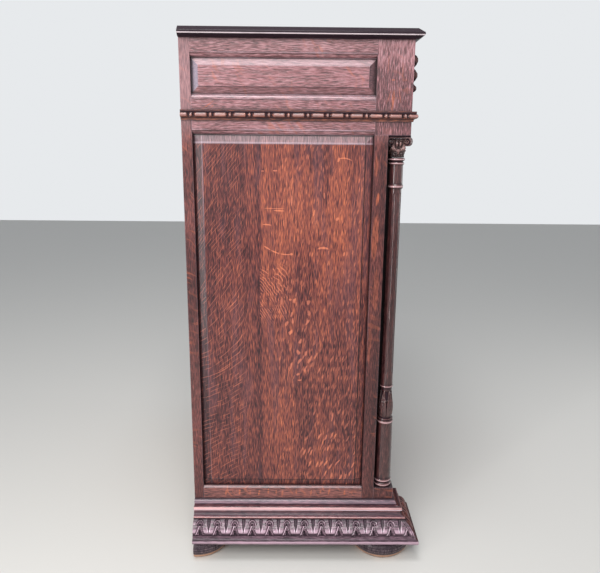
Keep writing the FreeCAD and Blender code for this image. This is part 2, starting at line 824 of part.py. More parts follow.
def make_door():
    lock_stile = door_stile(-1).cut(lock_block(lock_clearance))
    lock_stile = lock_stile.cut(key_slot(key_hole_clearance, door_y - overrun, door_thickness + overrun))
    write("door_lock_stile", [lock_stile])
    write("door_hinge_stile", [cut_hinge_beds(door_stile(1), 1)])
    write("door_rails", door_rails())
    panel = fielded_panel(panel_half * 2, panel_high - panel_low, door_panel_bevel, panel_edge,
                          margin=door_strip_width, end_margins=(door_strip_width, door_strip_width))
    middle = (panel_low + panel_high) / 2
    write("door_panel", [stand_facing_front(panel, 0, door_y + panel_setback, middle)])
    write("door_mouldings", front_strips(panel_half * 2, panel_high - panel_low, middle,
                                         door_y + panel_setback))
    write("hinge_leaves_door", hinge_half(1))
    write("lock_case", [lock_case()])
    write("key_plate", [key_plate()])
    write("lock_bolt", [lock_bolt()])
    write("door_key", [door_key()])


# The drawer runs in the frieze, between the corner blocks
drawer_half = block_inner_x - drawer_front_gap
drawer_front_y = front_y + drawer_front_setback
drawer_inner_y = drawer_front_y + drawer_front_thickness
drawer_low = drawer_floor + running_gap
drawer_front_low = drawer_floor + drawer_front_gap
drawer_front_high = drawer_ceiling - drawer_front_gap
drawer_side_high = drawer_low + drawer_side_height
drawer_back_y = rear_stile_y - drawer_rear_gap
pull_z = drawer_front_low + (drawer_front_high - drawer_front_low) * pull_rise_share
pull_xs = [-pull_spacing / 2, pull_spacing / 2]
bail_y = drawer_front_y - post_length + post_radius


def drawer_bottom_slot(clearance):
    """The drawer bottom's sheet, or with a clearance the grooves that hold it."""
    low = drawer_low + drawer_bottom_rise
    side = drawer_half - drawer_side_thickness + drawer_bottom_groove
    return box((-side - clearance, drawer_inner_y - drawer_bottom_groove - clearance, low - clearance),
               (side + clearance, drawer_back_y + clearance, low + drawer_bottom_thickness + clearance))


def make_drawer():
    front = box((-drawer_half, drawer_front_y + drawer_field_depth, drawer_front_low),
                (drawer_half, drawer_inner_y, drawer_front_high))
    wires = []
    for inset, y in ((0, 0), (drawer_field_margin, drawer_field_depth)):
        x = drawer_half - inset
        low = drawer_front_low + inset
        high = drawer_front_high - inset
        y = drawer_front_y + drawer_field_depth - y
        wires.append(rectangle((-x, y, low), (x, y, low), (x, y, high), (-x, y, high)))
    front = front.fuse(Part.makeLoft(wires, True, True)).removeSplitter()
    write("drawer_front", [front.cut(drawer_bottom_slot(groove_clearance))])
    side = box((-drawer_half, drawer_inner_y, drawer_low),
               (-drawer_half + drawer_side_thickness, drawer_back_y, drawer_side_high))
    write("drawer_sides", pair(side.cut(drawer_bottom_slot(groove_clearance))))
    inner = drawer_half - drawer_side_thickness
    floor_top = drawer_low + drawer_bottom_rise + drawer_bottom_thickness
    back = box((-inner, drawer_back_y - drawer_back_thickness, floor_top + groove_clearance),
               (inner, drawer_back_y, drawer_side_high))
    write("drawer_back", [back])
    write("drawer_bottom", [drawer_bottom_slot(0)])
    plates = [pull_post(x, side) for x in pull_xs for side in (-1, 1)]
    write("pull_posts", plates)
    for name, x in zip(("pull_left", "pull_right"), pull_xs):
        write(name, [pull_bail(x)])


def pull_post(x, side):
    """One rosette with its post, bored across for the end of the bail."""
    centre = x + side * pull_pitch / 2
    rosette = rod(rosette_radius, rosette_thickness, (centre, drawer_front_y, pull_z), (0, -1, 0))
    near_y = drawer_front_y - groove_clearance
    rim = [e for e in rosette.Edges if e.BoundBox.YMax < near_y and e.BoundBox.XLength > rosette_radius]
    rosette = rosette.makeChamfer(rosette_thickness / 2, rim)
    post = rod(post_radius, post_length - post_radius, (centre, drawer_front_y, pull_z), (0, -1, 0))
    knob = Part.makeSphere(post_radius, Vector(centre, bail_y, pull_z))
    bore = rod(bail_wire_radius + bail_hole_clearance, post_radius * 4,
               (centre - post_radius * 2, bail_y, pull_z), (1, 0, 0))
    return rosette.fuse(post).fuse(knob).cut(bore)


def pull_bail(x):
    """A drop pull: one bent wire, whose ends turn in through the posts from outside."""
    inner = pull_pitch / 2 - post_radius
    outer = pull_pitch / 2 + post_radius + bail_shoulder_gap + bail_wire_radius
    low = pull_z - bail_drop
    bend = bail_bend * (1 - math.sqrt(1 / 2))

    def at(px, pz):
        return Vector(x + px, bail_y, pz)
    edges = [
        Part.LineSegment(at(-outer, pull_z), at(-outer, low + bail_bend)),
        Part.Arc(at(-outer, low + bail_bend), at(bend - outer, low + bend), at(bail_bend - outer, low)),
        Part.LineSegment(at(bail_bend - outer, low), at(outer - bail_bend, low)),
        Part.Arc(at(outer - bail_bend, low), at(outer - bend, low + bend), at(outer, low + bail_bend)),
        Part.LineSegment(at(outer, low + bail_bend), at(outer, pull_z)),
    ]
    section = Part.Wire(Part.makeCircle(bail_wire_radius, at(-outer, pull_z), Vector(0, 0, 1)))
    loop = Part.Wire([edge.toShape() for edge in edges]).makePipeShell([section], True, True)
    for side in (-1, 1):
        foot = (x + side * inner, bail_y, pull_z)
        loop = loop.fuse(rod(bail_wire_radius, outer - inner, foot, (side, 0, 0)))
        loop = loop.fuse(Part.makeSphere(bail_wire_radius, at(side * outer, pull_z)))
    return loop


def make_carcass():
    write("top_board", [top_board()])
    write("rear_stiles", pair(rear_stile()))
    left = front_stile().cut(strike_plate(leaf_recess_clearance)).cut(strike_mortise())
    right = cut_hinge_beds(mirrored(front_stile()), -1)
    write("front_stiles", [left, right])
    write("frieze_blocks", pair(frieze_block()))
    for name in ("top", "middle", "bottom"):
        write("side_" + name + "_rails", pair(side_rail(name)))
    frieze_middle = (frieze_open_bottom + frieze_open_top) / 2
    side_middle = (side_open_bottom + side_open_top) / 2
    length = rear_stile_y - frame_back_y
    middle_y = (rear_stile_y + frame_back_y) / 2
    frieze_panel = fielded_panel(length, frieze_opening_height, frieze_bevel, panel_edge,
                                 end_margins=(strip_height, strip_height))
    side_panel = fielded_panel(length, side_open_top - side_open_bottom, side_bevel, panel_edge,
                               end_margins=(0, strip_height))
    write("frieze_panels", pair(stand_facing_left(frieze_panel, middle_y, frieze_middle)))
    write("side_panels", pair(stand_facing_left(side_panel, middle_y, side_middle)))
    strips = [strip(frieze_open_top, 1), strip(frieze_open_bottom, -1), strip(side_open_top, 1)]
    write("panel_strips", [s for shape in strips for s in pair(shape)])


def top_board():
    """The top: a board whose moulded edge overhangs the left side, the front and the right side."""
    core = box((-half_width, front_y, frieze_top), (half_width, back_y, frieze_top + top_thickness))
    edge = run_round(top_edge_shares, top_overhang, top_thickness, frieze_top, straight_plan())
    return core.fuse(edge).removeSplitter()


def make_mouldings():
    bead_z = column_top + bead_drop
    for name, shares, reach, height, low_z, plan in (
        ("bead_moulding", bead_shares, bead_reach, bead_height, bead_z, straight_plan()),
        ("plinth_base", plinth_base_shares, plinth_reach, plinth_base_height, foot_height, stepped_plan()),
        ("plinth_cap", plinth_cap_shares, cap_reach, plinth_top - plinth_step, plinth_step, stepped_plan()),
    ):
        side, front = split_at_mitres(run_round(shares, reach, height, low_z, plan), low_z, height)
        write(name + "_sides", pair(side))
        write(name + "_front", [front])
    write("frieze_ornaments", pair(ornament()))


def make_supports():
    write("columns", pair(column()))
    write("capitals", pair(capital()))
    write("pedestals", pair(pedestal()))
    write("front_feet", pair(front_foot()))
    write("rear_feet", pair(rear_foot()))
    side = box((-half_width, door_y, foot_height), (-half_width + plinth_board, back_y, plinth_top))
    write("plinth_side_boards", pair(side.cut(rear_dowel(dowel_clearance))))
    inner = half_width - plinth_board
    for name, low_y, high_y in (("plinth_front_board", door_y, door_y + plinth_board),
                                ("plinth_rear_board", back_y - plinth_board, back_y)):
        write(name, [box((-inner, low_y, foot_height), (inner, high_y, plinth_top))])


def make_front_frame():
    rail = box((-stile_inner_x, door_y, plinth_top),
               (stile_inner_x, door_y + front_rail_depth, pedestal_top))
    write("front_bottom_rail", [rail])
    write("drawer_rail", [box((-block_inner_x, front_y, column_top),
                              (block_inner_x, frame_back_y, drawer_floor))])
    write("front_top_rail", [box((-block_inner_x, front_y, drawer_ceiling),
                                 (block_inner_x, front_y + front_rail_depth, frieze_top))])
    inner = panel_half
    stops = [box((-inner, door_back, z), (inner, door_back + stop_section, z + stop_section))
             for z in (pedestal_top, column_top - stop_section)]
    write("door_stops", stops)
    write("hinge_leaves_stile", hinge_half(-1))
    write("hinge_pins", hinge_pins())
    write("strike_plate", [strike_plate(0).cut(strike_mortise())])


def make_inside():
    floor_low = pedestal_top - board_thickness
    floor = box((-inner_x, door_y + front_rail_depth, floor_low), (inner_x, rear_stile_y, pedestal_top))
    write("bottom_board", [floor.cut(stile_post()).cut(mirrored(stile_post()))])
    write("bottom_cleats", pair(box((-inner_x, frame_back_y, plinth_top),
                                    (-inner_x + cleat_depth, rear_stile_y, floor_low))))
    shelf_low = pedestal_top + shelf_rise
    shelf_front = frame_back_y + shelf_setback
    write("shelf", [box((-inner_x + door_gap, shelf_front, shelf_low),
                        (inner_x - door_gap, rear_stile_y - door_gap, shelf_low + shelf_thickness))])
    write("shelf_cleats", pair(box((-inner_x, shelf_front, shelf_low - cleat_height),
                                   (-inner_x + cleat_depth, rear_stile_y, shelf_low))))
    runner_low = drawer_floor - board_thickness
    write("drawer_runners", pair(box((-inner_x, frame_back_y, runner_low),
                                     (-inner_x + runner_width, rear_stile_y, drawer_floor))))
    write("drawer_guides", pair(box((-inner_x, frame_back_y, drawer_floor),
                                    (-block_inner_x, rear_stile_y, drawer_floor + guide_height))))
    kicker = box((-inner_x, frame_back_y, drawer_side_high + kicker_clearance),
                 (-inner_x + kicker_width, rear_stile_y, frieze_top))
    write("drawer_kickers", pair(kicker))
    dust = box((-inner_x, frame_back_y, runner_low - dust_board_thickness),
               (inner_x, rear_stile_y, runner_low))
    write("dust_board", [dust])


def make_back():
    edge = half_width - rear_stile_breadth
    low, high = back_levels()
    groove = back_groove(-edge)
    rails = [box((-edge, rear_stile_y, a), (edge, back_y, b)).cut(groove)
             for a, b in ((plinth_top, low), (high, frieze_top))]
    write("back_rails", rails)
    half = back_muntin_width / 2
    muntin = box((-half, rear_stile_y, low), (half, back_y, high))
    y = (rear_stile_y + back_y - back_panel_thickness) / 2
    tongue = groove_depth - panel_gap
    panel = box((-edge - tongue, y, low - tongue),
                (-half + tongue, y + back_panel_thickness, high + tongue))
    for way in (-1, 1):
        ends = sorted((way * half, way * (half - groove_depth)))
        muntin = muntin.cut(box((ends[0], y - groove_clearance, low - overrun),
                                (ends[1], y + back_panel_thickness + groove_clearance, high + overrun)))
    write("back_muntin", [muntin])
    write("back_panels", pair(panel))


os.makedirs("parts", exist_ok=True)
make_carcass()
make_mouldings()
make_supports()
make_front_frame()
make_inside()
make_back()
make_door()
make_drawer()
print(len(made), "sub-parts")
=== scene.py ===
import math

import bmesh
import bpy
from mathutils import Matrix, Vector


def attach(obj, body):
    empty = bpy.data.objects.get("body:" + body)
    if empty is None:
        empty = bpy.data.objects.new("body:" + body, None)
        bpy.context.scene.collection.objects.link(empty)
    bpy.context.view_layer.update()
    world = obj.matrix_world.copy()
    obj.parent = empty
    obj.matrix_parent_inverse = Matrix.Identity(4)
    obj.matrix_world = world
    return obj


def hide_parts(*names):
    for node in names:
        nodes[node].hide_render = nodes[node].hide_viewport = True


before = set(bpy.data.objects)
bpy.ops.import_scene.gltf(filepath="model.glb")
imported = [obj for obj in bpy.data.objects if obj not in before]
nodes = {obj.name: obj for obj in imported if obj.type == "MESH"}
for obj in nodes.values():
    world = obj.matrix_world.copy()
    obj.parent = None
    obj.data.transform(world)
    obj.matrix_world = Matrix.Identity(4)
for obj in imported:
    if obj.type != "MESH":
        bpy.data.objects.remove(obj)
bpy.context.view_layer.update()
MM = 0.001
MERGE = 0.00001
SHARP_EDGE = 32
SQUARE_END = 99.0


# Shader arithmetic

def operator(operation, reflected=False):
    """A wire's arithmetic with a number or another wire, as a Math node."""
    if reflected:
        return lambda wire, other: wire.maths(operation, other, wire)
    return lambda wire, other: wire.maths(operation, wire, other)


class Wire:
    """A shader socket that adds its own Math nodes when it is reckoned with."""

    def __init__(self, finish, socket):
        self.finish = finish
        self.socket = socket

    def maths(self, operation, *values):
        return self.finish.node("ShaderNodeMath", {"operation": operation}, dict(enumerate(values)))

    __add__, __radd__ = operator("ADD"), operator("ADD", True)
    __sub__, __rsub__ = operator("SUBTRACT"), operator("SUBTRACT", True)
    __mul__, __rmul__ = operator("MULTIPLY"), operator("MULTIPLY", True)
    __truediv__, __rtruediv__ = operator("DIVIDE"), operator("DIVIDE", True)

    def size(self):
        return self.maths("ABSOLUTE", self)

    def sine(self):
        return self.maths("SINE", self)

    def capped(self):
        return self.maths("MINIMUM", self, 1.0)

    def swing(self, amount):
        """A noise's departure from its middle value."""
        return (self - 0.5) * amount

    def between(self, low, high):
        """0 below low, 1 above high, eased from one to the other; falls where low is above high."""
        limits = {0: self, 1: min(low, high), 2: max(low, high), 3: 0.0, 4: 1.0}
        risen = self.finish.node("ShaderNodeMapRange", {"interpolation_type": "SMOOTHSTEP"}, limits)
        return risen if low < high else 1 - risen

    def above(self, line, blur):
        return self.between(line - blur, line + blur)

    def below(self, line, blur):
        return self.between(line + blur, line - blur)

    def near(self, line, wide, narrow=0.0):
        """1 within the narrow distance from a line, 0 outside the wide one."""
        return (self - line).size().between(wide, narrow)


class Finish:
    """A material in the making, with its nodes and its Principled shader."""

    def __init__(self, name, rough, metal=0.0, coat=0.0, coat_rough=0.2):
        self.material = bpy.data.materials.new(name)
        self.material.use_nodes = True
        self.tree = self.material.node_tree
        self.shader = self.tree.nodes["Principled BSDF"]
        self.set(Roughness=rough, Metallic=metal, Coat_Weight=coat, Coat_Roughness=coat_rough)

    def join(self, socket, value):
        if isinstance(value, Wire):
            self.tree.links.new(value.socket, socket)
        else:
            socket.default_value = value

    def node(self, kind, settings=None, sockets=None, out=0):
        """One node: its settings first, then the values or links of its sockets."""
        made = self.tree.nodes.new(kind)
        for name, value in (settings or {}).items():
            if name == "stops":
                for stop in range(len(value) - 2):
                    made.color_ramp.elements.new(0.5)
                for stop, (place, colour) in zip(made.color_ramp.elements, value):
                    stop.position = place
                    stop.color = colour
            else:
                setattr(made, name, value)
        for name, value in (sockets or {}).items():
            self.join(made.inputs[name], value)
        if isinstance(out, tuple):
            return [Wire(self, made.outputs[each]) for each in out]
        return Wire(self, made.outputs[out])

    def place(self):
        """The point on the piece, as its three lengths in metres."""
        point = self.node("ShaderNodeTexCoord", out="Object")
        return self.node("ShaderNodeSeparateXYZ", None, {0: point}, ("X", "Y", "Z"))

    def facing(self, axis):
        """How far the face turns to an axis, as the sine of its slope."""
        normal = self.node("ShaderNodeNewGeometry", out="Normal")
        return self.node("ShaderNodeSeparateXYZ", None, {0: normal}, axis)

    def vector(self, a, b, c):
        return self.node("ShaderNodeCombineXYZ", None, {0: a, 1: b, 2: c})

    def noise(self, place, detail=3.0, rough=0.5, bend=0.0):
        sockets = {"Vector": self.vector(*place), "Scale": 1.0, "Detail": detail, "Roughness": rough}
        return self.node("ShaderNodeTexNoise", None, {**sockets, "Distortion": bend})

    def mix(self, share, first, second):
        """Two colours in a share from 0, the first, to 1, the second."""
        sockets = {0: share, 6: first, 7: second}
        return self.node("ShaderNodeMix", {"data_type": "RGBA", "blend_type": "MIX"}, sockets, 2)

    def ramp(self, value, *stops):
        return self.node("ShaderNodeValToRGB", {"stops": stops}, {0: value})

    def set(self, **sockets):
        for name, value in sockets.items():
            self.join(self.shader.inputs[name.replace("_", " ")], value)
        return self.material


def shade(red, green, blue):
    """A colour by its screen values, 0 to 255, as a shader's linear one."""
    return tuple(math.pow((part / 255 + 0.055) / 1.055, 2.4) for part in (red, green, blue)) + (1.0,)


def shades(*colours):
    return tuple(shade(*colour) for colour in colours)


# Painted shade: this near-black lies in corners and recesses, behind the column and in thin shadow lines beside
# the panel fields.
SOOT = shade(16, 10, 14)
BLACK_STAIN = shade(38, 26, 30)
# Painted shade with some dirt: dark in carved hollows and grooves, and on flat upward faces.
DIRT = shade(40, 28, 36)
# Painted shade and painted sheen for the frieze panel's bevels, by the way each faces.
BEVEL_STAIN = shade(56, 42, 48)
BEVEL_DUST = shade(142, 136, 152)
COOL_BLOOM = shade(94, 64, 72)
# Pale colours that are at once wear on rubbed edges and crests, and painted highlight and sheen where faces
# would catch the light.
ROSE = shade(206, 158, 154)
PALE_LILAC = shade(192, 168, 180)
ROSY_LILAC = shade(214, 182, 198)
RUBBED_ROSE = shade(214, 158, 156)
ORANGE = shade(178, 96, 66)
BARE_BROWN = shade(176, 136, 112)
# Painted highlights: glints on the brightest crests and on the top's nose, the last partly wear.
BARE_GLEAM = shade(230, 216, 228)
COLUMN_GLEAM = shade(186, 150, 154)
TOP_GLEAM = shade(226, 210, 216)
# Greys of painted sheen, mixed in by height.
COOL_GREYS = shades((90, 78, 92), (134, 118, 136))
UPPER_GREYS = shades((116, 84, 90), (184, 152, 158))
PANEL_TONES = shades((48, 26, 30), (94, 50, 50), (132, 71, 60), (176, 98, 70))
FLAME_TONES = shades((180, 104, 86), (216, 126, 88))
# Painted sheen for the side panel's head bevel.
HEAD_BEVEL_TONES = shades((104, 80, 88), (152, 124, 134))

# How finely the nodes that look round a point do so, and how far they reach in metres
OCCLUSION_SAMPLES = 6
BEVEL_SAMPLES = 4
RIM = 0.0035
SOFT_EDGE = 0.0016
GRAIN_DEPTH = 0.0009
GRAIN_STRENGTH = 0.35


# Oak, with its grain along one axis

def weathered(finish, colour, patch, worn, worn_share, dirt, reach):
    """Painted shade in corners and recesses, and pale rubbed edges, over a colour; gives the colour and the
    painted shade's share.
    """
    samples = {"samples": OCCLUSION_SAMPLES}
    recess = finish.node("ShaderNodeAmbientOcclusion", samples, {"Distance": reach}, "AO")
    # Painted shade: darker where nearby surfaces close round a point, in corners and recesses.
    grime = (1 - recess.between(0.30, 0.92)) * dirt
    colour = finish.mix(grime, colour, SOOT)
    inward = {**samples, "inside": True}
    edge = finish.node("ShaderNodeAmbientOcclusion", inward, {"Distance": RIM}, "AO")
    rubbed = (1 - edge.between(0.30, 0.80)) * patch.between(0.30, 0.62) * worn_share
    return finish.mix(rubbed, colour, worn), grime


def surface(finish, colour, height, gloss, coat):
    """Softened edges and a fine grain relief under the colour, and a shellac that is dulled where shade is
    painted in corners.
    """
    soft = finish.node("ShaderNodeBevel", {"samples": BEVEL_SAMPLES}, {"Radius": SOFT_EDGE})
    sockets = {"Strength": GRAIN_STRENGTH, "Distance": GRAIN_DEPTH, "Height": height, "Normal": soft}
    normal = finish.node("ShaderNodeBump", None, sockets)
    return finish.set(Base_Color=colour, Roughness=gloss, Normal=normal, Coat_Weight=coat)


def by_height(finish, z, table, unit=1.0, shift=0.0):
    """What a table of heights and shares gives at a height; a shift keeps its negative shares above 0."""
    low, high = table[0][0], table[-1][0]
    stops = [((height - low) / (high - low), (share + shift,) * 3 + (1,)) for height, share in table]
    value = finish.ramp((z - low * unit) / ((high - low) * unit), *stops)
    return value - shift if shift else value


# Turns of the grain's noise in a metre, along the grain and across it
WANDER = (9.0, 16.0)
STREAKS = (54.0, 540.0)
BANDS = (3.4, 60.0)
PATCHES = (6.0, 13.0)
PORES = (46.0, 430.0)
WANDER_REACH = 0.013
STILE_BACK = -0.1748
FRAME_SIDE = 0.3509


def oak(name, axis, tones, seed, fleck_share=0.0, slope=0.6, marks=(), zones=None, contrast=1.0, worn=None,
        worn_share=0.7, dirt=0.8, recess=0.011, bloom=0.0, bevels=False, gap=False, rough=0.34, coat=0.4,
        coat_rough=0.16, sheen=0.5, relief=False, lines=None, rub=0.8, shiny=None, cool=(),
        cool_tones=COOL_GREYS):
    """Fumed, stained oak: growth bands, pores, ray flecks, painted shade in corners and worn edges; painted
    sheen, highlight and shadow come with their arguments.
    """
    finish = Finish(name, rough, coat=coat, coat_rough=coat_rough)
    finish.set(Specular_IOR_Level=sheen)
    x, y, z = finish.place()
    along, across, deep = {"X": (x, y, z), "Y": (y, z, x), "Z": (z, y, x)}[axis]
    dark, plain, bright = tones
    worn = worn or bright

    def grain(scales, side, detail, spread=0.5):
        return finish.noise((along * scales[0] + seed, side * scales[1], deep * scales[1]), detail, spread)

    wander = grain(WANDER, across, 2.0)
    side = across + wander.swing(WANDER_REACH)
    streak = grain(STREAKS, side, 2.0, 0.62)
    broad = grain(BANDS, side, 3.0, 0.55)
    patch = grain(PATCHES, across, 3.0)
    tone = 0.5 + (streak.swing(2.6) + broad.swing(0.7) + patch.swing(0.6)) * contrast
    if zones:
        tone = tone + zones(finish, y, z)
    colour = finish.ramp(tone, (0.12, dark), (0.5, plain), (0.88, bright))
    pores = grain(PORES, side, 1.0).between(0.53, 0.63)
    colour = finish.mix(pores * 0.55, colour, BLACK_STAIN)
    if fleck_share:
        run = (along - across * slope) * 80.0 + wander.swing(5.0)
        ray = finish.noise((across * 22.0 + seed, run, deep * 20.0), 2.0, 0.5, 0.35)
        rays = ray.between(0.56, 0.66) * patch.between(0.42, 0.60)
        colour = finish.mix(rays * fleck_share, colour, ORANGE)
    if marks:
        flame = rays_by_place(y, z, marks) * streak.between(0.30, 0.62)
        colour = finish.mix(flame.capped(), colour, ORANGE)
    # Painted sheen: faces tilted upwards are paled towards lilac, as if lit from above; flat tops get half of
    # it.
    if bloom:
        up = finish.facing("Z")
        ledge = up.between(0.5, 0.8)
        colour = finish.mix(up.between(0.06, 0.30) * (1 - ledge * 0.5) * bloom, colour, PALE_LILAC)
        # Flat upward faces are darkened, as painted shade.
        colour = finish.mix(ledge * 0.30, colour, DIRT)
    if bevels:
        # Painted light on the bevels: those facing the front or downwards are darkened as shade, those facing
        # the rear are paled as sheen.
        rearward = finish.facing("Y")
        colour = finish.mix(rearward.between(-0.06, -0.24) * 0.62, colour, BEVEL_STAIN)
        colour = finish.mix(rearward.between(0.06, 0.24) * 0.75, colour, BEVEL_DUST)
        colour = finish.mix(up.between(-0.06, -0.24) * 0.16, colour, BEVEL_STAIN)
    colour, grime = weathered(finish, colour, patch, worn, worn_share, dirt, recess)
    # Painted shadow: behind the stile's face, the lip beside the column and the flat tops there are made
    # near-black and lose their coat.
    if gap:
        behind = y.below(STILE_BACK, 0.0002)
        hidden = behind * (x.size().below(FRAME_SIDE, 0.0003) + finish.facing("Z").between(0.5, 0.8) * 0.8)
        colour = finish.mix(hidden.capped(), colour, SOOT)
        coat = coat * (1 - hidden)
    shellac = (1 - grime) * coat
    # Painted sheen by height: a greyer tone is mixed in and the pale colour of crests turns lilac.
    if cool:
        share = by_height(finish, z, cool, MM)
        cooler = finish.ramp(tone, (0.1, cool_tones[0]), (0.9, cool_tones[1]))
        colour = finish.mix(share * 0.5, colour, cooler)
        worn = finish.mix(share, worn, PALE_LILAC)
    if relief or lines:
        cut = by_height(finish, z, lines, MM) if lines else finish.node(
            "ShaderNodeAttribute", {"attribute_name": "relief"}, out="Fac")
        # Painted shade with some dirt: dark where the relief or the height table is low, in hollows and
        # grooves, and the coat is dulled there.
        packed = 1 - cut.between(0.02, 0.55)
        colour = finish.mix(packed * 0.92, colour, DIRT)
        # Wear and painted highlight: crests where the relief or the height table is high are paled, and the
        # glint colour at the very top is a painted highlight.
        colour = finish.mix(cut.between(0.62, 1.0) * patch.between(0.10, 0.5) * rub, colour, worn)
        if shiny:
            colour = finish.mix(cut.between(0.93, 1.0), colour, shiny)
        shellac = shellac * (1 - packed * 0.9)
    height = streak * 0.9 + broad * 0.3 - pores * 0.7
    return surface(finish, colour, height, rough + patch.swing(0.16) + grime * 0.3, shellac)


# The panels of the sides and the door: boards, each with its own figure of rays. Places are in metres.

FIRST_JOINT = 0.1141
SECOND_JOINT = -0.0024
DOOR_JOINTS = ((-0.11, 0.5), (0.09, 0.7))
JOINT_BLUR = 0.0004
EDGE_BLUR = 0.0002
PANEL_REAR = 0.262
FIELD_REAR = 0.242
FIELD_FRONT = -0.124
FIELD_LOW = 0.198
FIELD_HIGH = 1.034
PANEL_HEAD = 1.054
FAN_FRONT, FAN_LOW, FAN_HIGH = 0.050, 0.625, 0.755
BORDER = 0.022

# Turns of a panel's noise in a metre across the boards, up and through them, and its detail
WARP = (8.0, 5.0, 6.0, 2.0)
RIPPLE = (34.0, 26.0, 9.0, 3.0)
THREADS = (470.0, 26.0, 30.0, 2.0)
BROAD_BANDS = (60.0, 2.4, 9.0, 3.0)
BLOTCHES = (12.0, 7.0, 9.0, 3.0)
COOL_STREAKS = (44.0, 5.0, 9.0, 2.0)
GAPS = (26.0, 70.0, 5.0, 2.0)
HAIRS = (860.0, 58.0, 60.0, 1.0)
PANEL_PORES = (640.0, 60.0, 60.0, 1.0)

# Separate rays: width, height, lean to the front, share that is kept, size and wave
SMALL_FLECKS = (0.0062, 0.024, 0.2, 0.40, 0.30, 1.1)
LEANING_FLECKS = (0.0095, 0.036, 0.42, 0.50, 0.30, 1.6)
BORDER_FLECKS = (0.012, 0.026, 0.18, 0.42, 0.32, 2.2)

# Soft ovals: middle along Y and Z, half sizes, change of tone
PANEL_ZONES = [
    (0.060, 0.88, 0.110, 0.20, 0.12), (-0.075, 0.85, 0.080, 0.20, 0.12), (0.235, 0.60, 0.030, 0.50, -0.06),
    (0.190, 0.95, 0.060, 0.14, -0.06), (0.000, 0.35, 0.026, 0.16, -0.12), (0.072, 0.34, 0.035, 0.15, 0.09),
    (0.040, 0.72, 0.028, 0.05, -0.10), (-0.105, 0.30, 0.040, 0.16, -0.05), (0.190, 0.45, 0.030, 0.20, -0.04),
    (-0.020, 1.00, 0.030, 0.06, -0.08), (-0.035, 0.93, 0.016, 0.10, -0.10),
    (-0.080, 0.46, 0.060, 0.36, -0.09), (0.020, 0.62, 0.070, 0.22, -0.07),
]

# Large rays, in millimetres: middle along Y and Z, half length, half width, rise towards the front in
# degrees, arch, strength
PANEL_MARKS = [
    (106.3, 974.4, 4, 1.8, 0, 0, 0.8), (78.1, 975.3, 6, 2, 0, 0, 1), (51.4, 960.4, 21, 1.3, 88, 0, 0.7),
    (40.3, 908.7, 15, 1.9, 88, 0, 1), (80.5, 890.2, 28, 1.1, -1, 0, 0.8), (69.1, 885.2, 14, 2, -3, 0, 1),
    (96.7, 853, 12, 1.6, -4, 0.8, 1), (96.5, 798.3, 10, 1.8, -32, 0, 1), (77.4, 788.5, 12, 1.8, -23, 0, 1),
    (53.9, 783.2, 14, 1.6, -4, -0.7, 1), (-33.7, 799.3, 15, 3.2, 0, 1.1, 1), (-65.4, 867, 5, 3.4, 60, 0, 0.9),
    (-11.3, 880.6, 9, 2.4, 80, 0, 0.9), (-34.5, 920.2, 8, 2.4, 95, 0, 0.8), (-65.2, 1000.2, 6, 2.6, 70, 0, 1),
    (-79.7, 1004, 18, 1.8, -6, 2.6, 0.8), (22.3, 484.8, 5, 3, 25, 0, 1), (18, 469.3, 6, 2, 5, -0.5, 1),
    (-64.8, 371.4, 14, 2, 82, 0, 1), (-41.1, 299.8, 15, 1.6, 74, 0, 0.9), (181.3, 660.4, 24, 1, 44, 0, 0.7),
    (176.7, 653, 20, 0.9, 44, 0, 0.6), (166.8, 569.9, 20, 1.1, 52, -3, 0.7),
    (168.5, 537.9, 15, 1.1, 42, -2.6, 0.8), (208.3, 492.9, 32, 1.1, 30, -3, 0.7),
    (171, 457.2, 16, 1.3, 32, 0, 0.7), (63.7, 668.3, 10, 1.9, 86, 0, 0.8), (76.2, 568.7, 8, 1.6, 80, 0, 0.8),
    (39.6, 506.4, 10, 2.2, 86, 0, 1), (42.1, 674.1, 4, 3, 0, 0, 0.8), (40.3, 784, 4, 3.2, 0, 0, 0.9),
    (-82.5, 784.9, 6, 2.4, 75, 0, 0.9),
]


def zones_of_tone(across, up, zones):
    """Soft oval patches where the board is lighter or darker."""
    total = 0.0
    for middle, height, wide, tall, change in zones:
        a = (across - middle) / wide
        b = (up - height) / tall
        total = total + (a * a + b * b).between(1.0, 0.0) * change
    return total


def rays_by_place(across, up, marks):
    """The large rays whose places show, each a short bar, straight or arched, in millimetres."""
    total = 0.0
    for middle, height, long, wide, rise, arch, share in marks:
        flat, tilt = math.cos(math.radians(rise)), math.sin(math.radians(rise))
        along = up * (tilt / long / MM) - across * (flat / long / MM)
        along = along + (middle * flat - height * tilt) / long
        over = across * (tilt / wide / MM) + up * (flat / wide / MM)
        over = over - (middle * tilt + height * flat) / wide
        squared = along * along
        bowed = over + squared * arch if arch else over
        total = total + (squared + bowed * bowed).between(1.0, 0.45) * share
    return total


def ray_lines(phase, broken, width):
    """Thin curved lines where a phase comes round, broken along their length."""
    return (phase * math.tau).sine().between(1 - width, 1 - width * 0.35) * broken


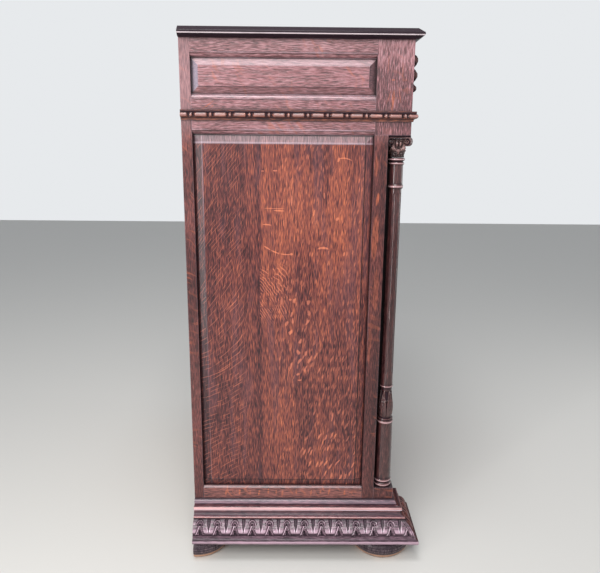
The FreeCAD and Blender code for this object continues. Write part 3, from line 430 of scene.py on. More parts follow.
class Boards:
    """The noises that a panel's grain and rays are drawn from."""

    def __init__(self, finish, axis, seed):
        x, y, self.up = finish.place()
        self.across, self.deep = (y, x) if axis == "Y" else (x, y)
        self.finish = finish
        self.seed = seed
        self.warp = self.figure(WARP)
        self.ripple = self.figure(RIPPLE)
        self.streak = self.figure(THREADS, self.ripple * 3.0, 0.6)
        self.patch = self.figure(BLOTCHES)
        self.gaps = self.figure(GAPS)

    def figure(self, scales, bend=0.0, rough=0.5):
        wide, tall, thick, detail = scales
        place = (self.across * wide + (bend + self.seed), self.up * tall, self.deep * thick)
        return self.finish.noise(place, detail, rough)

    def flecks(self, width, height, lean, keep, size, wave):
        """Separate rays that lean to the front, some of them left out."""
        lane = (self.across + self.up * lean) / width + self.ripple.swing(wave)
        place = self.finish.vector(lane, self.up / height + self.seed, 0.0)
        sockets = {"Vector": place, "Scale": 1.0}
        spot, chance = self.finish.node("ShaderNodeTexVoronoi", {"voronoi_dimensions": "2D"}, sockets,
                                        ("Distance", "Color"))
        return spot.between(size, size * 0.5) * chance.between(1 - keep, 1.05 - keep)


def side_figure(wood):
    """The side panel's changes of tone and its rays; its three boards differ."""
    across, up, patch = wood.across, wood.up, wood.patch
    rear = across.above(FIRST_JOINT, JOINT_BLUR)
    centre = 1 - rear - across.below(SECOND_JOINT, JOINT_BLUR)
    seams = across.near(FIRST_JOINT, 0.010) * 0.20 + across.near(SECOND_JOINT, 0.003) * 0.10
    tone = zones_of_tone(across, up, PANEL_ZONES) - rear * 0.12 - seams
    reach = PANEL_REAR - across
    climb = up - reach * (0.55 + up.between(0.45, 0.80) * 0.75)
    dashes = wood.finish.noise((reach * 42.0 + wood.seed, climb * 190.0, wood.deep * 5.0), 2.0, 0.6)
    shown = dashes.between(0.47, 0.56) * across.above(0.150, 0.018)
    rays = ray_lines(climb * 92.0 + wood.warp.swing(5.0), shown, 0.32) * rear * 0.46
    fall = (FIRST_JOINT - across) * (0.85 + up.between(0.76, 0.62) * 0.8)
    fan = ray_lines((up + fall) * 105.0 + wood.ripple.swing(3.0), wood.gaps.between(0.42, 0.54), 0.5)
    fan_place = across.above(FAN_FRONT, 0.010) * up.above(FAN_LOW, 0.025) * up.below(FAN_HIGH, 0.010)
    rays = rays + fan * fan_place * centre * 0.9
    leaning = wood.flecks(*LEANING_FLECKS) * up.between(0.62, 0.50) * across.between(BORDER, 0.006)
    border = wood.flecks(*BORDER_FLECKS) * across.near(BORDER, 0.050, 0.020)
    border = border * up.between(0.83, 0.76) * up.between(0.42, 0.48)
    rays = rays + (leaning + border) * patch.between(0.36, 0.56)
    rays = rays + wood.flecks(*SMALL_FLECKS) * across.between(0.095, 0.06) * 0.5
    rays = rays + wood.streak.between(0.58, 0.70) * across.between(0.11, 0.06) * 0.22
    rays = (rays + rays_by_place(across, up, PANEL_MARKS)).capped()
    # Painted shade: the front, foot and rear bevels are darkened, and the front and head bevels lose most of
    # their rays.
    front_bevel = across.below(FIELD_FRONT, EDGE_BLUR)
    tone = tone - front_bevel * 0.10 - up.below(FIELD_LOW, EDGE_BLUR) * 0.10
    tone = tone - across.above(FIELD_REAR, EDGE_BLUR) * 0.24
    return tone, rays * (1 - front_bevel * 0.6) * (1 - up.above(FIELD_HIGH, EDGE_BLUR) * 0.85)


def door_figure(wood):
    """The door panel's changes of tone and its rays, which are few and fine."""
    thirds = sum(wood.across.above(joint, JOINT_BLUR) * share for joint, share in DOOR_JOINTS)
    climb = wood.up - wood.across * (thirds * 1.2 - 0.4) + wood.warp.swing(0.03)
    rays = ray_lines(climb * 74.0 + wood.ripple.swing(3.0), wood.gaps.between(0.50, 0.62), 0.30)
    rays = rays * wood.patch.between(0.40, 0.60) * 0.7
    small = wood.flecks(*SMALL_FLECKS) * wood.patch.between(0.62, 0.46) * 0.45
    return thirds * 0.12 - 0.04, rays.maths("MAXIMUM", rays, small)


def side_edges(finish, colour, tone, across, up):
    """The side panel's head bevel paled as painted sheen, pale lines beside its field that are wear and painted
    highlight, and thin dark lines there that are painted shadow.
    """
    # Painted sheen: the head bevel is paled.
    pale = finish.ramp(tone, *zip((0.1, 0.8), HEAD_BEVEL_TONES))
    colour = finish.mix(up.above(FIELD_HIGH, EDGE_BLUR) * 0.60, colour, pale)
    # Pale lines at the field's rear edge and just above its head: wear and painted highlight.
    worn = across.near(FIELD_REAR, 0.0020, 0.0008) * (0.05 + up.between(0.70, 1.0) * 0.20)
    worn = worn + up.near(FIELD_HIGH + 0.002, 0.0030, 0.0012) * 0.30
    colour = finish.mix(worn, colour, PALE_LILAC)
    # Painted shadow: thin near-black lines at the field's front edge and foot, near the front of the opening,
    # and under the moulded strip at the panel's head.
    lines = across.near(FIELD_FRONT - 0.0010, 0.0020, 0.0006) * 0.85
    lines = lines + across.near(FIELD_FRONT - 0.0185, 0.0018, 0.0006) * 0.7
    lines = lines + up.near(FIELD_LOW - 0.0012, 0.0020, 0.0008) * 0.8
    lines = lines.maths("MAXIMUM", lines, up.between(PANEL_HEAD - 0.0040, PANEL_HEAD - 0.0010))
    return finish.mix(lines * 0.85, colour, SOOT)


def panel_oak(name, axis, seed, rays_of):
    """Quarter-sawn boards, glued edge to edge, with orange rays across a fine red-brown grain."""
    finish = Finish(name, 0.36, coat=0.35, coat_rough=0.16)
    finish.set(Specular_IOR_Level=0.2)
    wood = Boards(finish, axis, seed)
    change, rays = rays_of(wood)
    hair = wood.figure(HAIRS, wood.ripple * 2.0)
    broad = wood.figure(BROAD_BANDS, wood.warp * 1.5)
    tone = 0.44 + wood.streak.swing(1.2) + hair.swing(1.7) + broad.swing(0.45) + wood.patch.swing(0.25)
    tone = tone + change
    colour = finish.ramp(tone, *zip((0.06, 0.34, 0.60, 0.92), PANEL_TONES))
    cool = wood.figure(COOL_STREAKS, seed * 2)
    colour = finish.mix(cool.between(0.50, 0.68) * 0.35, colour, COOL_BLOOM)
    pores = wood.figure(PANEL_PORES).between(0.56, 0.70)
    colour = finish.mix(pores * 0.5, colour, BLACK_STAIN)
    flame = finish.ramp(tone, *zip((0.3, 0.7), FLAME_TONES))
    colour = finish.mix(rays * 0.80, colour, flame)
    if rays_of is side_figure:
        colour = side_edges(finish, colour, tone, wood.across, wood.up)
    else:
        # Painted sheen: the door panel's upward-facing bevel is paled.
        colour = finish.mix(finish.facing("Z").between(0.06, 0.30) * 0.3, colour, PALE_LILAC)
    colour, grime = weathered(finish, colour, wood.patch, PALE_LILAC, 0.25, 0.9, 0.009)
    height = wood.streak * 0.9 - pores * 0.7 + rays * 0.25
    return surface(finish, colour, height, 0.36 + wood.patch.swing(0.16) + grime * 0.3, 0.35 * (1 - grime))


# Moulding outlines, in shares of their width and height: corners, and arcs given by a point on the way and
# their end

PLINTH_BASE = [
    (0, 0), (0.97, 0), (1, 0.04), (1, 0.16), (0.985, 0.2), (0.93, 0.21), (0.895, 0.25, 0.88, 0.345),
    (0.89, 0.365), (0.728, 0.72, 0.475, 0.985), (0.475, 1), (0, 1),
]
PLINTH_CAP = [
    (0, 0), (0.96, 0), (1, 0.04), (1, 0.1), (0.96, 0.13), (0.88, 0.135), (0.67, 0.22, 0.62, 0.4),
    (0.64, 0.42), (0.76, 0.56, 0.47, 0.665), (0.28, 0.675), (0.3, 0.70), (0.24, 0.88, 0.07, 0.97), (0.07, 1),
    (0, 1),
]
BEAD = [(0, 0), (0.28, 0), (0.4, 0.22, 0.66, 0.3), (1, 0.52, 0.66, 0.76), (0.74, 0.8), (0.74, 1), (0, 1)]
COLUMN = [
    (0, 0), (0.93, 0), (0.975, 0.006, 0.9, 0.012), (0.85, 0.0132), (0.85, 0.0144), (0.89, 0.015),
    (0.965, 0.0205, 0.9, 0.0259), (0.9, 0.0268), (0.915, 0.03), (0.88, 0.1745), (0.845, 0.207),
    (0.86, 0.2106), (0.885, 0.216, 0.83, 0.222), (0.78, 0.2228), (0.78, 0.224), (0.82, 0.2248),
    (0.85, 0.2262, 0.8, 0.2276), (0.68, 0.2284), (0.68, 0.2305), (0.72, 0.2322),
    (0.83, 0.2563, 0.745, 0.2852), (0.66, 0.2996, 0.6, 0.3165), (0.6, 0.3261), (0.66, 0.3266),
    (0.71, 0.3297, 0.66, 0.333), (0.655, 0.3345), (0.62, 0.4633), (0.61, 0.9158), (0.69, 0.9165),
    (0.75, 0.9224, 0.69, 0.928), (0.68, 0.929), (0.665, 0.9805), (0.7, 0.981), (0.76, 0.9844, 0.7, 0.988),
    (0.64, 0.989), (0.64, 0.9905), (0.7, 0.9915), (0.82, 0.9958, 0.7, 1), (0, 1),
]


def arc(start, way, end, step):
    """Points after start, as far as end, on the circle through the three."""
    a = way - start
    b = end - start
    turned = a.x * b.y - a.y * b.x
    toward = Vector((b.y * a.length_squared - a.y * b.length_squared,
                     a.x * b.length_squared - b.x * a.length_squared))
    centre = start + toward / (2 * turned)
    first = start - centre
    last = end - centre
    begin = math.atan2(first.y, first.x)
    sweep = (math.atan2(last.y, last.x) - begin) % math.tau
    if turned < 0:
        sweep -= math.tau
    count = max(3, round(abs(sweep) * first.length / step))
    angles = [begin + sweep * n / count for n in range(1, count + 1)]
    return [centre + Vector((math.cos(angle), math.sin(angle))) * first.length for angle in angles]


def traced(shares, width, height, step, carved=()):
    """A moulding's outline in millimetres; the carved stretches and all arcs are divided."""
    points = [Vector((shares[0][0] * width, shares[0][1] * height))]
    for number, share in enumerate(shares[1:], 1):
        end = Vector((share[-2] * width, share[-1] * height))
        fine = step if number in carved else step * 2
        if len(share) == 4:
            points += arc(points[-1], Vector((share[0] * width, share[1] * height)), end, fine)
        elif number in carved:
            start = points[-1]
            count = max(1, round((end - start).length / step))
            points += [start.lerp(end, n / count) for n in range(1, count + 1)]
        else:
            points.append(end)
    return points


def ringed(*outline):
    """A traced outline that comes back to its first point."""
    points = traced(*outline)
    return points + [points[0].copy()]


def facings(points, closed=False):
    """The outward direction at each point of an outline that runs upwards outside."""
    ways = [(b - a).normalized() for a, b in zip(points, points[1:])]
    before = [ways[-1] if closed else ways[0]] + ways
    after = ways + [ways[0] if closed else ways[-1]]
    turned = [(a + b) for a, b in zip(before, after)]
    return [Vector((way.y, -way.x)).normalized() if way.length > 0.1 else Vector((1, 0)) for way in turned]


def ease(low, high, value):
    """0 below low, 1 above high, and a smooth rise between them."""
    share = min(1.0, max(0.0, (value - low) / (high - low)))
    return share * share * (3 - 2 * share)


def dome(share, power=2):
    """1 at the middle of a rounded form, falling to 0 at its edge."""
    return math.sqrt(max(0.0, 1 - abs(share) ** power))


def ridge(distance, half):
    """1 on a line, falling to 0 at half its width."""
    return max(0.0, 1 - (distance / half) ** 2)


def level(table, value):
    """The share that a table of heights and shares gives at a height between them."""
    for (low, first), (high, last) in zip(table, table[1:]):
        if value <= high:
            return first + (last - first) * max(0.0, value - low) / (high - low)
    return table[-1][1]


def sheet(form, columns, rows, place):
    """A grid laid by a rule that gives each crossing its point and how bright it is painted, from painted shade
    with some dirt to wear and painted highlight.
    """
    relief = form.verts.layers.float.get("relief") or form.verts.layers.float.new("relief")
    made = bmesh.ops.create_grid(form, x_segments=columns, y_segments=rows, size=0.5)["verts"]
    for corner in made:
        column = round((corner.co.x + 0.5) * columns)
        row = round((corner.co.y + 0.5) * rows)
        corner.co, rubbed = place(column, row)
        corner[relief] = min(1.0, max(0.0, rubbed))


def finished(name, form, body, finish, stands_for):
    """The mesh made whole and turned outwards, as a piece that rides its body."""
    bmesh.ops.remove_doubles(form, verts=form.verts, dist=MERGE)
    open_rims = [edge for edge in form.edges if edge.is_boundary]
    bmesh.ops.holes_fill(form, edges=open_rims, sides=0)
    bmesh.ops.recalc_face_normals(form, faces=form.faces)
    for face in form.faces:
        face.smooth = True
    for edge in form.edges:
        edge.smooth = edge.calc_face_angle(0) < math.radians(SHARP_EDGE)
    mesh = bpy.data.meshes.new(name)
    form.to_mesh(mesh)
    form.free()
    mesh.materials.append(finish)
    piece = bpy.data.objects.new(name, mesh)
    bpy.context.scene.collection.objects.link(piece)
    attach(piece, body)
    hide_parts(*stands_for)


def mitre_distance(spot, mitre, line, mitre_way):
    """How far a spot is from a mitre, or a long way where the run's end is cut square."""
    return (spot - mitre).length if abs(mitre_way.dot(line)) > 0.5 else SQUARE_END


def moulding_run(form, corners, outline, base, lines, step, carve, mirror):
    """A carved moulding swept round a plan of corners, each with the way its mitre goes out."""
    facing = facings(outline, closed=True)
    reach = max(point.x for point in outline)
    columns = []
    for number, ((start, start_way), (end, end_way)) in enumerate(zip(corners, corners[1:])):
        longest = max((end - start).length, (end + end_way * reach - start - start_way * reach).length)
        count = max(2, round(longest / step))
        columns += [(number, n / count) for n in range(count + (number == len(corners) - 2))]

    def place(column, row):
        run, share = columns[column]
        (start, start_way), (end, end_way) = corners[run], corners[run + 1]
        point = outline[row]
        a = start + start_way * point.x
        b = end + end_way * point.x
        spot = a.lerp(b, share)
        line = (end - start).normalized()
        corner = min(mitre_distance(spot, a, line, start_way), mitre_distance(spot, b, line, end_way))
        depth, polish = carve(run, spot.dot(Vector((abs(line.x), abs(line.y)))), corner, point)
        cut = point + facing[row] * depth
        spot = (start + start_way * cut.x).lerp(end + end_way * cut.x, share)
        across = -spot.x if mirror else spot.x
        return Vector((across, spot.y, base + cut.y)) * MM, level(lines, base + point.y) * polish

    sheet(form, len(columns) - 1, len(outline) - 1, place)


# Carving of the plinth: broad tongues with a centre groove, and between them a ringed eye over an open V.
# Lengths are in millimetres, and heights on the band are shares of its way down.

LEAF_PERIOD = 44.12
SIDE_LEAF_START = 25.0
FRONT_LEAF_START = 22.06
RETURN_LEAF_START = -200.0
LEAF_TOP = 52.2
LEAF_FOOT = 19.4
LEAF_BACK = 20
BAND_SLOPE = 36.0
DART_TOP = 0.30
DART_SPREAD = 14.5
DEEPEST_LEAF, HIGHEST_LEAF = -6.0, 0.3
EYE_RADIUS = 10.4
PUPIL = 1.9


def leaf_band(along, v):
    """Carved depth in millimetres and how bright it is painted, for a place along the band and a share down it:
    lobes, ribs, eyes and the edges of the Vs pale as wear and painted highlight, one leg of each V brighter
    than the other, the channels and deep cuts dark as painted shade.
    """
    place = (along / LEAF_PERIOD + 0.5) % 1 - 0.5
    turn = abs(place)
    rising = place < 0
    middle = turn * LEAF_PERIOD
    gap = (0.5 - turn) * LEAF_PERIOD
    dart = 0.6 + max(0.0, v - DART_TOP) * DART_SPREAD
    inside = min(gap - dart - 2.2, (0.87 - 0.05 * (middle / 12) ** 2 - v) * BAND_SLOPE)
    depth, polish = -2.6, 0.16 + 0.26 * ease(0.86, 0.93, v)
    if inside > 0:
        depth = -1.8 * (1 - ease(0.0, 3.4, inside)) - 0.1
        polish = 0.46 + 0.38 * ease(0.30, 0.66, v) - 0.14 * ease(0.72, 0.86, v)
        polish = polish * (0.55 + 0.45 * ease(0.0, 1.5, inside))
        channel = 3.8 * (1 - ease(0.10, 0.80, v)) + 0.6
        if middle < channel:
            depth -= 1.9 * dome(middle / channel) * (1 - ease(0.55, 0.80, v))
            polish *= 0.30 + 0.70 * ease(0.62, 0.85, v)
        rib = min(1.0, 1.5 * ridge(middle - channel - 1.3, 1.6)) * (0.70 + 0.28 * ease(0.3, 0.6, v))
        polish = max(polish, rib * (1 - ease(0.70, 0.85, v)))
    edge = min(1.0, 1.7 * ridge(gap - dart, 1.9)) * (1.0 if rising else 0.72)
    edge = edge * ease(0.27, 0.32, v) * (1 - ease(0.93, 0.97, v))
    if gap < dart - 1.7 and v < 0.95:
        depth, polish = -2.4, 0.50
        if v > 0.62 and gap < (1.0 if rising else dart - 3.4):
            depth, polish = -5.8, 0.0
    if inside <= 0:
        depth += 2.4 * edge
    polish = max(polish, 0.9 * edge)
    eye = math.hypot(gap, (v - DART_TOP) * BAND_SLOPE)
    if eye < EYE_RADIUS and v < 0.33:
        outer = ridge(eye - 8.6, 1.8)
        inner = ridge(eye - 4.2, 1.4)
        depth = -2.8 + 2.6 * outer + 1.6 * inner
        polish = 0.22 + 0.66 * outer + 0.42 * inner
        if eye < PUPIL:
            depth, polish = -4.6, 0.0
    depth -= 1.2 * ridge(v - 0.985, 0.04)
    return max(DEEPEST_LEAF, min(HIGHEST_LEAF, depth)), polish


def plinth_carving(starts):
    """The cut of the plinth's leaf band, with a plain corner leaf at each mitre."""
    def carve(run, along, corner, point):
        if not LEAF_FOOT <= point.y <= LEAF_TOP or point.x < LEAF_BACK:
            return 0.0, 1.0
        v = (LEAF_TOP - point.y) / (LEAF_TOP - LEAF_FOOT)
        depth, polish = leaf_band(along - starts[run], v)
        share = 1 - ease(10.0, 12.5, corner)
        veins = ridge(corner, 1.6) + 0.6 * ridge(corner - 5.0, 1.3) + ridge(corner - 11.0, 1.5)
        leaf = -0.4 - 1.8 * veins
        # The corner leaf is painted darker along its veins, as painted shade.
        leaf_polish = (0.35 + 0.5 * ease(0.3, 0.7, v)) * (1 - 0.8 * min(1.0, veins))
        return depth + (leaf - depth) * share, polish + (leaf_polish - polish) * share
    return carve


def uncut(run, along, corner, point):
    """No carving, as a depth and full brightness."""
    return 0.0, 1.0


# The bead-and-reel under the frieze

BEAD_PERIOD = 42.9
SIDE_BEAD_START = 4.5
FRONT_BEAD_START = 21.45
BEAD_LOW = 6.2
BEAD_HIGH = 17.0
BEAD_BACK = 7.6
BEAD_HALF = 3.6
BEAD_NECK = 6.2
REEL_SHOULDER = 10.5
PLAIN_CORNER = 8.0
BEAD_EASE = 1.5


def bead_carving(beginning):
    """The cut of the round beads and of the long reels between them, from a beginning along the moulding; the
    deeper the cut, the darker it is painted, as painted shade.
    """
    def carve(run, along, corner, point):
        if not BEAD_LOW <= point.y <= BEAD_HIGH or point.x < BEAD_BACK:
            return 0.0, 1.0
        away = abs(((along - beginning) / BEAD_PERIOD + 0.5) % 1 - 0.5) * BEAD_PERIOD
        if corner < PLAIN_CORNER:
            depth = 0.0
        elif away < BEAD_HALF:
            depth = -2.6 * (1 - dome(away / BEAD_HALF))
        elif away < BEAD_NECK:
            depth = -4.0
        else:
            depth = -2.4 * (1 - ease(BEAD_NECK, REEL_SHOULDER, away))
        rise = ease(BEAD_LOW, BEAD_LOW + BEAD_EASE, point.y)
        depth *= 0.35 + 0.65 * (rise * (1 - ease(BEAD_HIGH - BEAD_EASE, BEAD_HIGH, point.y)))
        return depth, max(0.0, 1 + depth / 3.0)
    return carve


# The turned and carved column

COLUMN_RADIUS = 23.0
COLUMN_LENGTH = 831.0
COLUMN_FOOT = 175.0
COLUMN_X = 375.0
COLUMN_Y = -199.5
COLUMN_AROUND = 120
COLUMN_FINE, CARVED_BULB = 0.9, (19, 20, 21)
FLUTES = 10
FLUTE_LOW = 482.0
FLUTE_HIGH = 928.0
FLUTE_END = 7
FLUTE_WIDTH = 0.74
FLUTE_DEPTH = 1.3
FLUTE_END_STEP = 1.4
LEAF_LOW = 368.5
LEAF_HIGH = 437.0
LEAVES = 6
# How bright the column is painted by its height in millimetres: dark in its grooves as painted shade with some
# dirt, pale on its rings and mouldings as wear and painted highlight.
COLUMN_LINES = [
    (175, 0.2), (177, 0.6), (178.8, 1), (181.6, 1), (184, 0.5), (186, 0), (187.2, 0), (189, 0.6), (190.8, 1),
    (193.8, 1), (196, 0.5), (197.4, 0.05), (201, 0.5), (206, 0.6), (345, 0.6), (348, 0.3), (350.5, 0.6),
    (353, 1), (356, 1), (358.5, 0.6), (360.2, 0), (361.2, 0), (362, 0.6), (363, 1), (364.2, 0.5), (365, 0),
    (367, 0), (369, 0.7), (434, 0.75), (440, 0.3), (445.5, 0.1), (447, 0.6), (448.4, 1), (450.6, 1),
    (452, 0.5), (453.2, 0.2), (458, 0.6), (935, 0.6), (936.8, 0.2), (938.5, 0.5), (939.8, 1), (942.8, 1),
    (945, 0.5), (947.5, 0.1), (951, 0.6), (986, 0.6), (989, 0.3), (990.6, 0.5), (991.8, 1), (994.6, 1),
    (996, 0.4), (997, 0), (998.2, 0), (999.8, 0.4), (1000.8, 1), (1003.6, 1), (1005, 0.4), (1006, 0.1),
]


def leaf_bulb(turn, v):
    """Upright leaves round the bulb, broad below, with raised edges, slanting veins and a bud at each tip."""
    depth = -3.0
    for row, top, wide in ((0.5, 0.66, 0.50), (0.0, 0.97, 0.48)):
        place = (turn * LEAVES + row) % 1 - 0.5
        half = wide * dome(v / top, 2.2)
        if abs(place) < half:
            part = abs(place) / half
            leaf = -0.9 + 0.9 * ridge(part - 0.82, 0.20) - 0.9 * ridge(place, 0.07)
            leaf += 0.5 * ridge(math.sin((part * 1.4 + v * 4.0) * 5.0), 0.7) * (1 - ease(0.6, 0.8, part))
            depth = leaf + (0.5 if row else 0.0)
        elif half and abs(place) < half + 0.07:
            depth = -3.2
    bud = math.hypot(((turn * LEAVES) % 1 - 0.5) * 12.0, (v - 0.93) * 68.0 / 1.4)
    return max(depth, 0.9 - bud * 0.55) if bud < 3.0 else depth


def column_carving(turn, z):
    """The cut of the flutes up the shaft and of the leaves round the bulb."""
    if FLUTE_LOW < z < FLUTE_HIGH:
        part = abs((turn * FLUTES) % 1 - 0.5) * 2
        ends = ease(FLUTE_LOW, FLUTE_LOW + FLUTE_END, z) * (1 - ease(FLUTE_HIGH - FLUTE_END, FLUTE_HIGH, z))
        wide = FLUTE_WIDTH * math.sqrt(ends)
        return -FLUTE_DEPTH * dome(part / wide) if part < wide else 0.0
    if LEAF_LOW < z < LEAF_HIGH:
        return leaf_bulb(turn, (z - LEAF_LOW) / (LEAF_HIGH - LEAF_LOW))
    return 0.0


def divided(outline, step, extra=()):
    """An outline with its long straight runs divided, and points at extra heights."""
    points = [outline[0]]
    for a, b in zip(outline, outline[1:]):
        count = max(1, math.ceil((b - a).length / step(a, b)))
        points += [a.lerp(b, n / count) for n in range(1, count + 1)]
    for height in extra:
        below = max(n for n in range(len(points)) if points[n].y < height)
        a, b = points[below], points[below + 1]
        points.insert(below + 1, a.lerp(b, (height - a.y) / (b.y - a.y)))
    return points


def turned(form, outline, around, carve, lines, stand, start, proud=3.0):
    """An outline turned about the upright axis of a stand and carved by a depth; it is painted pale where its
    height table is high, as wear and painted highlight, and darker in deep cuts, as painted shade.
    """
    facing = facings(outline)

    def place(column, row):
        turn = column / around
        point = outline[row]
        depth = carve(turn, point.y + start)
        cut = point + facing[row] * depth
        angle = math.tau * turn
        spot = Vector((cut.x * math.cos(angle), cut.x * math.sin(angle), cut.y + start))
        return (stand @ spot) * MM, min(level(lines, point.y + start), 1 + depth / proud)

    sheet(form, around, len(outline) - 1, place)


def pair(name, node, finish, y, build):
    """A left and a right piece, each built by a rule about the upright axis of its stand."""
    form = bmesh.new()
    for side in (-1, 1):
        build(form, Matrix.Translation((side * COLUMN_X, y, 0)))
    finished(name, form, "carcass", finish, [node])


def column_outline():
    """The column's outline, with finer rows at the bulb and where the flutes begin and end."""
    rows = [n * FLUTE_END_STEP for n in range(6)]
    ends = [FLUTE_LOW + row - COLUMN_FOOT for row in rows] + [FLUTE_HIGH - row - COLUMN_FOOT for row in rows]
    outline = traced(COLUMN, COLUMN_RADIUS, COLUMN_LENGTH, COLUMN_FINE, CARVED_BULB)
    return divided(outline, lambda a, b: 2.5 if b.y - a.y < 30 or a.y > 750 else 9.0, ends)


def column(form, stand):
    turned(form, column_outline(), COLUMN_AROUND, column_carving, COLUMN_LINES, stand, COLUMN_FOOT)


# The capital: a leafy bell, four corner scrolls and a hollow-sided slab

BELL_FOOT = 1006.0
BELL_HEIGHT = 42.5
BELL_REACH = 24.5
BELL_AROUND = 144
BELL_PROUD = 4.6
BELL = [(0, 0), (0.694, 0), (0.718, 0.14), (0.76, 0.47, 0.918, 0.847), (1, 1), (0, 1)]
# How bright the bell is painted by its height: dark at its foot and under the slab as painted shade, pale
# between as wear and painted highlight.
BELL_LINES = [(1006, 0.1), (1009, 0.9), (1040, 0.95), (1048.5, 0.1)]
# Bumps: quarter turns from the corner, share of the height, half width, half height, rise in millimetres
BELL_BUMPS = [
    (0, 0.50, 0.13, 0.10, 6.5), (0, 0.70, 0.10, 0.10, 3), (0.5, 0.36, 0.10, 0.075, 4.6),
    (0.5, 0.22, 0.05, 0.06, 2.4), (0.38, 0.70, 0.06, 0.08, 3.6), (0.62, 0.70, 0.06, 0.08, 3.6),
    (0.25, 0.42, 0.06, 0.07, 2.6), (0.75, 0.42, 0.06, 0.07, 2.6),
]
SLAB_HALF = 26.5
SLAB_HOLLOW = 4.2
SLAB_BLUNT = 1.30
SLAB_FOOT = 1048.5
SLAB_HEIGHT = 6.5
# Rises of the slab's edge and how bright each is painted: a pale line low on its edge, wear and painted
# highlight, then dark above as painted shade.
SLAB_EDGE = ((2.2, 0.9), (2.4, 0.1), (SLAB_HEIGHT, 0.0))
SCROLL_RADIUS = 10.4
SCROLL_WIDTH = 7.0
SCROLL_REACH = 28.6
SCROLL_HEIGHT = 1041.8
SCROLL_PITCH = 5.8
SCROLL_RINGS = 26
SCROLL_AROUND = 64
SCROLL_RIM = 1.5
STILE_FACE = -174.7


def bell_carving(turn, z):
    """Leaves up the bell, their tips curling out under the scrolls and, lower, at the middle of each side."""
    v = (z - BELL_FOOT) / BELL_HEIGHT
    across = ((turn * 8) % 1 - 0.5) * 2
    rib = ridge(math.sin((abs(across) * 1.5 - v * 2.4) * 6.0), 0.55)
    depth = -2.8 + 1.5 * dome(across) - 1.1 * ridge(across, 0.16) - rib
    for place, height, wide, tall, rise in BELL_BUMPS:
        away = (turn * 4 - 0.5 - place + 0.5) % 1 - 0.5
        depth += rise * math.exp(-(away / wide) ** 2 - ((v - height) / tall) ** 2)
    return min(depth, 4.5 - 0.9 * rib)


def scroll(form, stand):
    """A disc with a spiral ridge on both faces, an eye and a hollow rim; ridges and eye are painted pale as
    wear and painted highlight, the hollows between dark as painted shade.
    """
    radii = [SCROLL_RADIUS * n / SCROLL_RINGS for n in range(SCROLL_RINGS + 1)]
    rows = [(radius, -1) for radius in radii] + [(radius, 1) for radius in radii[::-1]]

    def place(column, row):
        radius, face = rows[row]
        turn = column / SCROLL_AROUND
        wound = abs(((radius - SCROLL_RADIUS + 1.3) / SCROLL_PITCH + turn + 0.5) % 1 - 0.5) * SCROLL_PITCH
        raised = ridge(wound, 1.5)
        if radius < 3.4:
            raised = ridge(radius - 2.5, 1.2)
        if radius > SCROLL_RADIUS - SCROLL_RIM:
            raised = 1.0
        lift = SCROLL_WIDTH / 2 - 2.2 * (1 - raised) - (0.8 if radius == SCROLL_RADIUS else 0.0)
        angle = math.tau * turn
        spot = Vector((radius * math.cos(angle), face * lift, radius * math.sin(angle)))
        return (stand @ spot) * MM, 0.10 + 0.85 * raised ** 3 if radius < SCROLL_RADIUS - SCROLL_RIM else 0.55

    sheet(form, SCROLL_AROUND, len(rows) - 1, place)


def slab(form, stand):
    """The abacus: a square with hollow sides and blunt corners, moulded at its edge."""
    relief = form.verts.layers.float["relief"]
    made = bmesh.ops.create_circle(form, cap_ends=True, radius=1.0, segments=96)["verts"]
    for corner in made:
        angle = math.atan2(corner.co.y, corner.co.x)
        quarter = (angle + math.pi / 4) % (math.pi / 2) - math.pi / 4
        hollow = SLAB_HALF - SLAB_HOLLOW * math.cos(quarter * 2) ** 2
        reach = min(hollow / math.cos(quarter), SLAB_HALF * SLAB_BLUNT)
        corner.co = stand @ Vector((reach * math.cos(angle), reach * math.sin(angle), SLAB_FOOT))
        corner.co *= MM
        corner[relief] = 0.1
    face = list(set(made[0].link_faces))[0]
    for rise, rubbed in SLAB_EDGE:
        top = bmesh.ops.extrude_face_region(form, geom=[face])["geom"]
        risen = [item for item in top if isinstance(item, bmesh.types.BMVert)]
        face = [item for item in top if isinstance(item, bmesh.types.BMFace)][0]
        height = (SLAB_FOOT + rise) * MM
        for corner in risen:
            corner.co.z = height
            corner[relief] = rubbed


def capital(form, stand):
    """Bell, scrolls and slab, cut off flat where they meet the stile."""
    outline = divided(traced(BELL, BELL_REACH, BELL_HEIGHT, 0.8), lambda a, b: 0.9)
    turned(form, outline, BELL_AROUND, bell_carving, BELL_LINES, stand, BELL_FOOT, BELL_PROUD)
    for quarter in range(4):
        turn = Matrix.Rotation(math.pi / 4 + quarter * math.pi / 2, 4, "Z")
        scroll(form, stand @ turn @ Matrix.Translation((SCROLL_REACH, 0, SCROLL_HEIGHT)))
    slab(form, stand)
    everything = form.verts[:] + form.edges[:] + form.faces[:]
    bmesh.ops.bisect_plane(form, geom=everything, dist=MERGE, plane_co=(0, STILE_FACE * MM, 0),
                           plane_no=(0, 1, 0), clear_outer=True)


# The drop ornament on each corner block: three husks, one under another; radius and height in millimetres

HUSK_OUTLINE = [
    (0, 0), (3.2, 1), (5.2, 4.5), (4.2, 7), (9, 9.5), (11.6, 14), (11, 19), (6, 23.5), (3.6, 26.5),
    (4.4, 28.5), (8.4, 33), (12.4, 40), (12.2, 47), (7.5, 54), (3.8, 57.5), (4.6, 60), (9, 65), (12.2, 72),
    (12, 78), (9, 83.5), (4.5, 86.8), (0, 87.5),
]
HUSK_FOOT = 1141.0
HUSK_Y = -224.5
HUSK_RADIUS = 12.4
HUSK_AROUND = 72
HUSK_PETALS = 6


def husk_carving(turn, z):
    """Petals down each husk."""
    across = ((turn * HUSK_PETALS) % 1 - 0.5) * 2
    return -2.2 * (1 - dome(across, 4)) - 0.9 * ridge(across, 0.14)


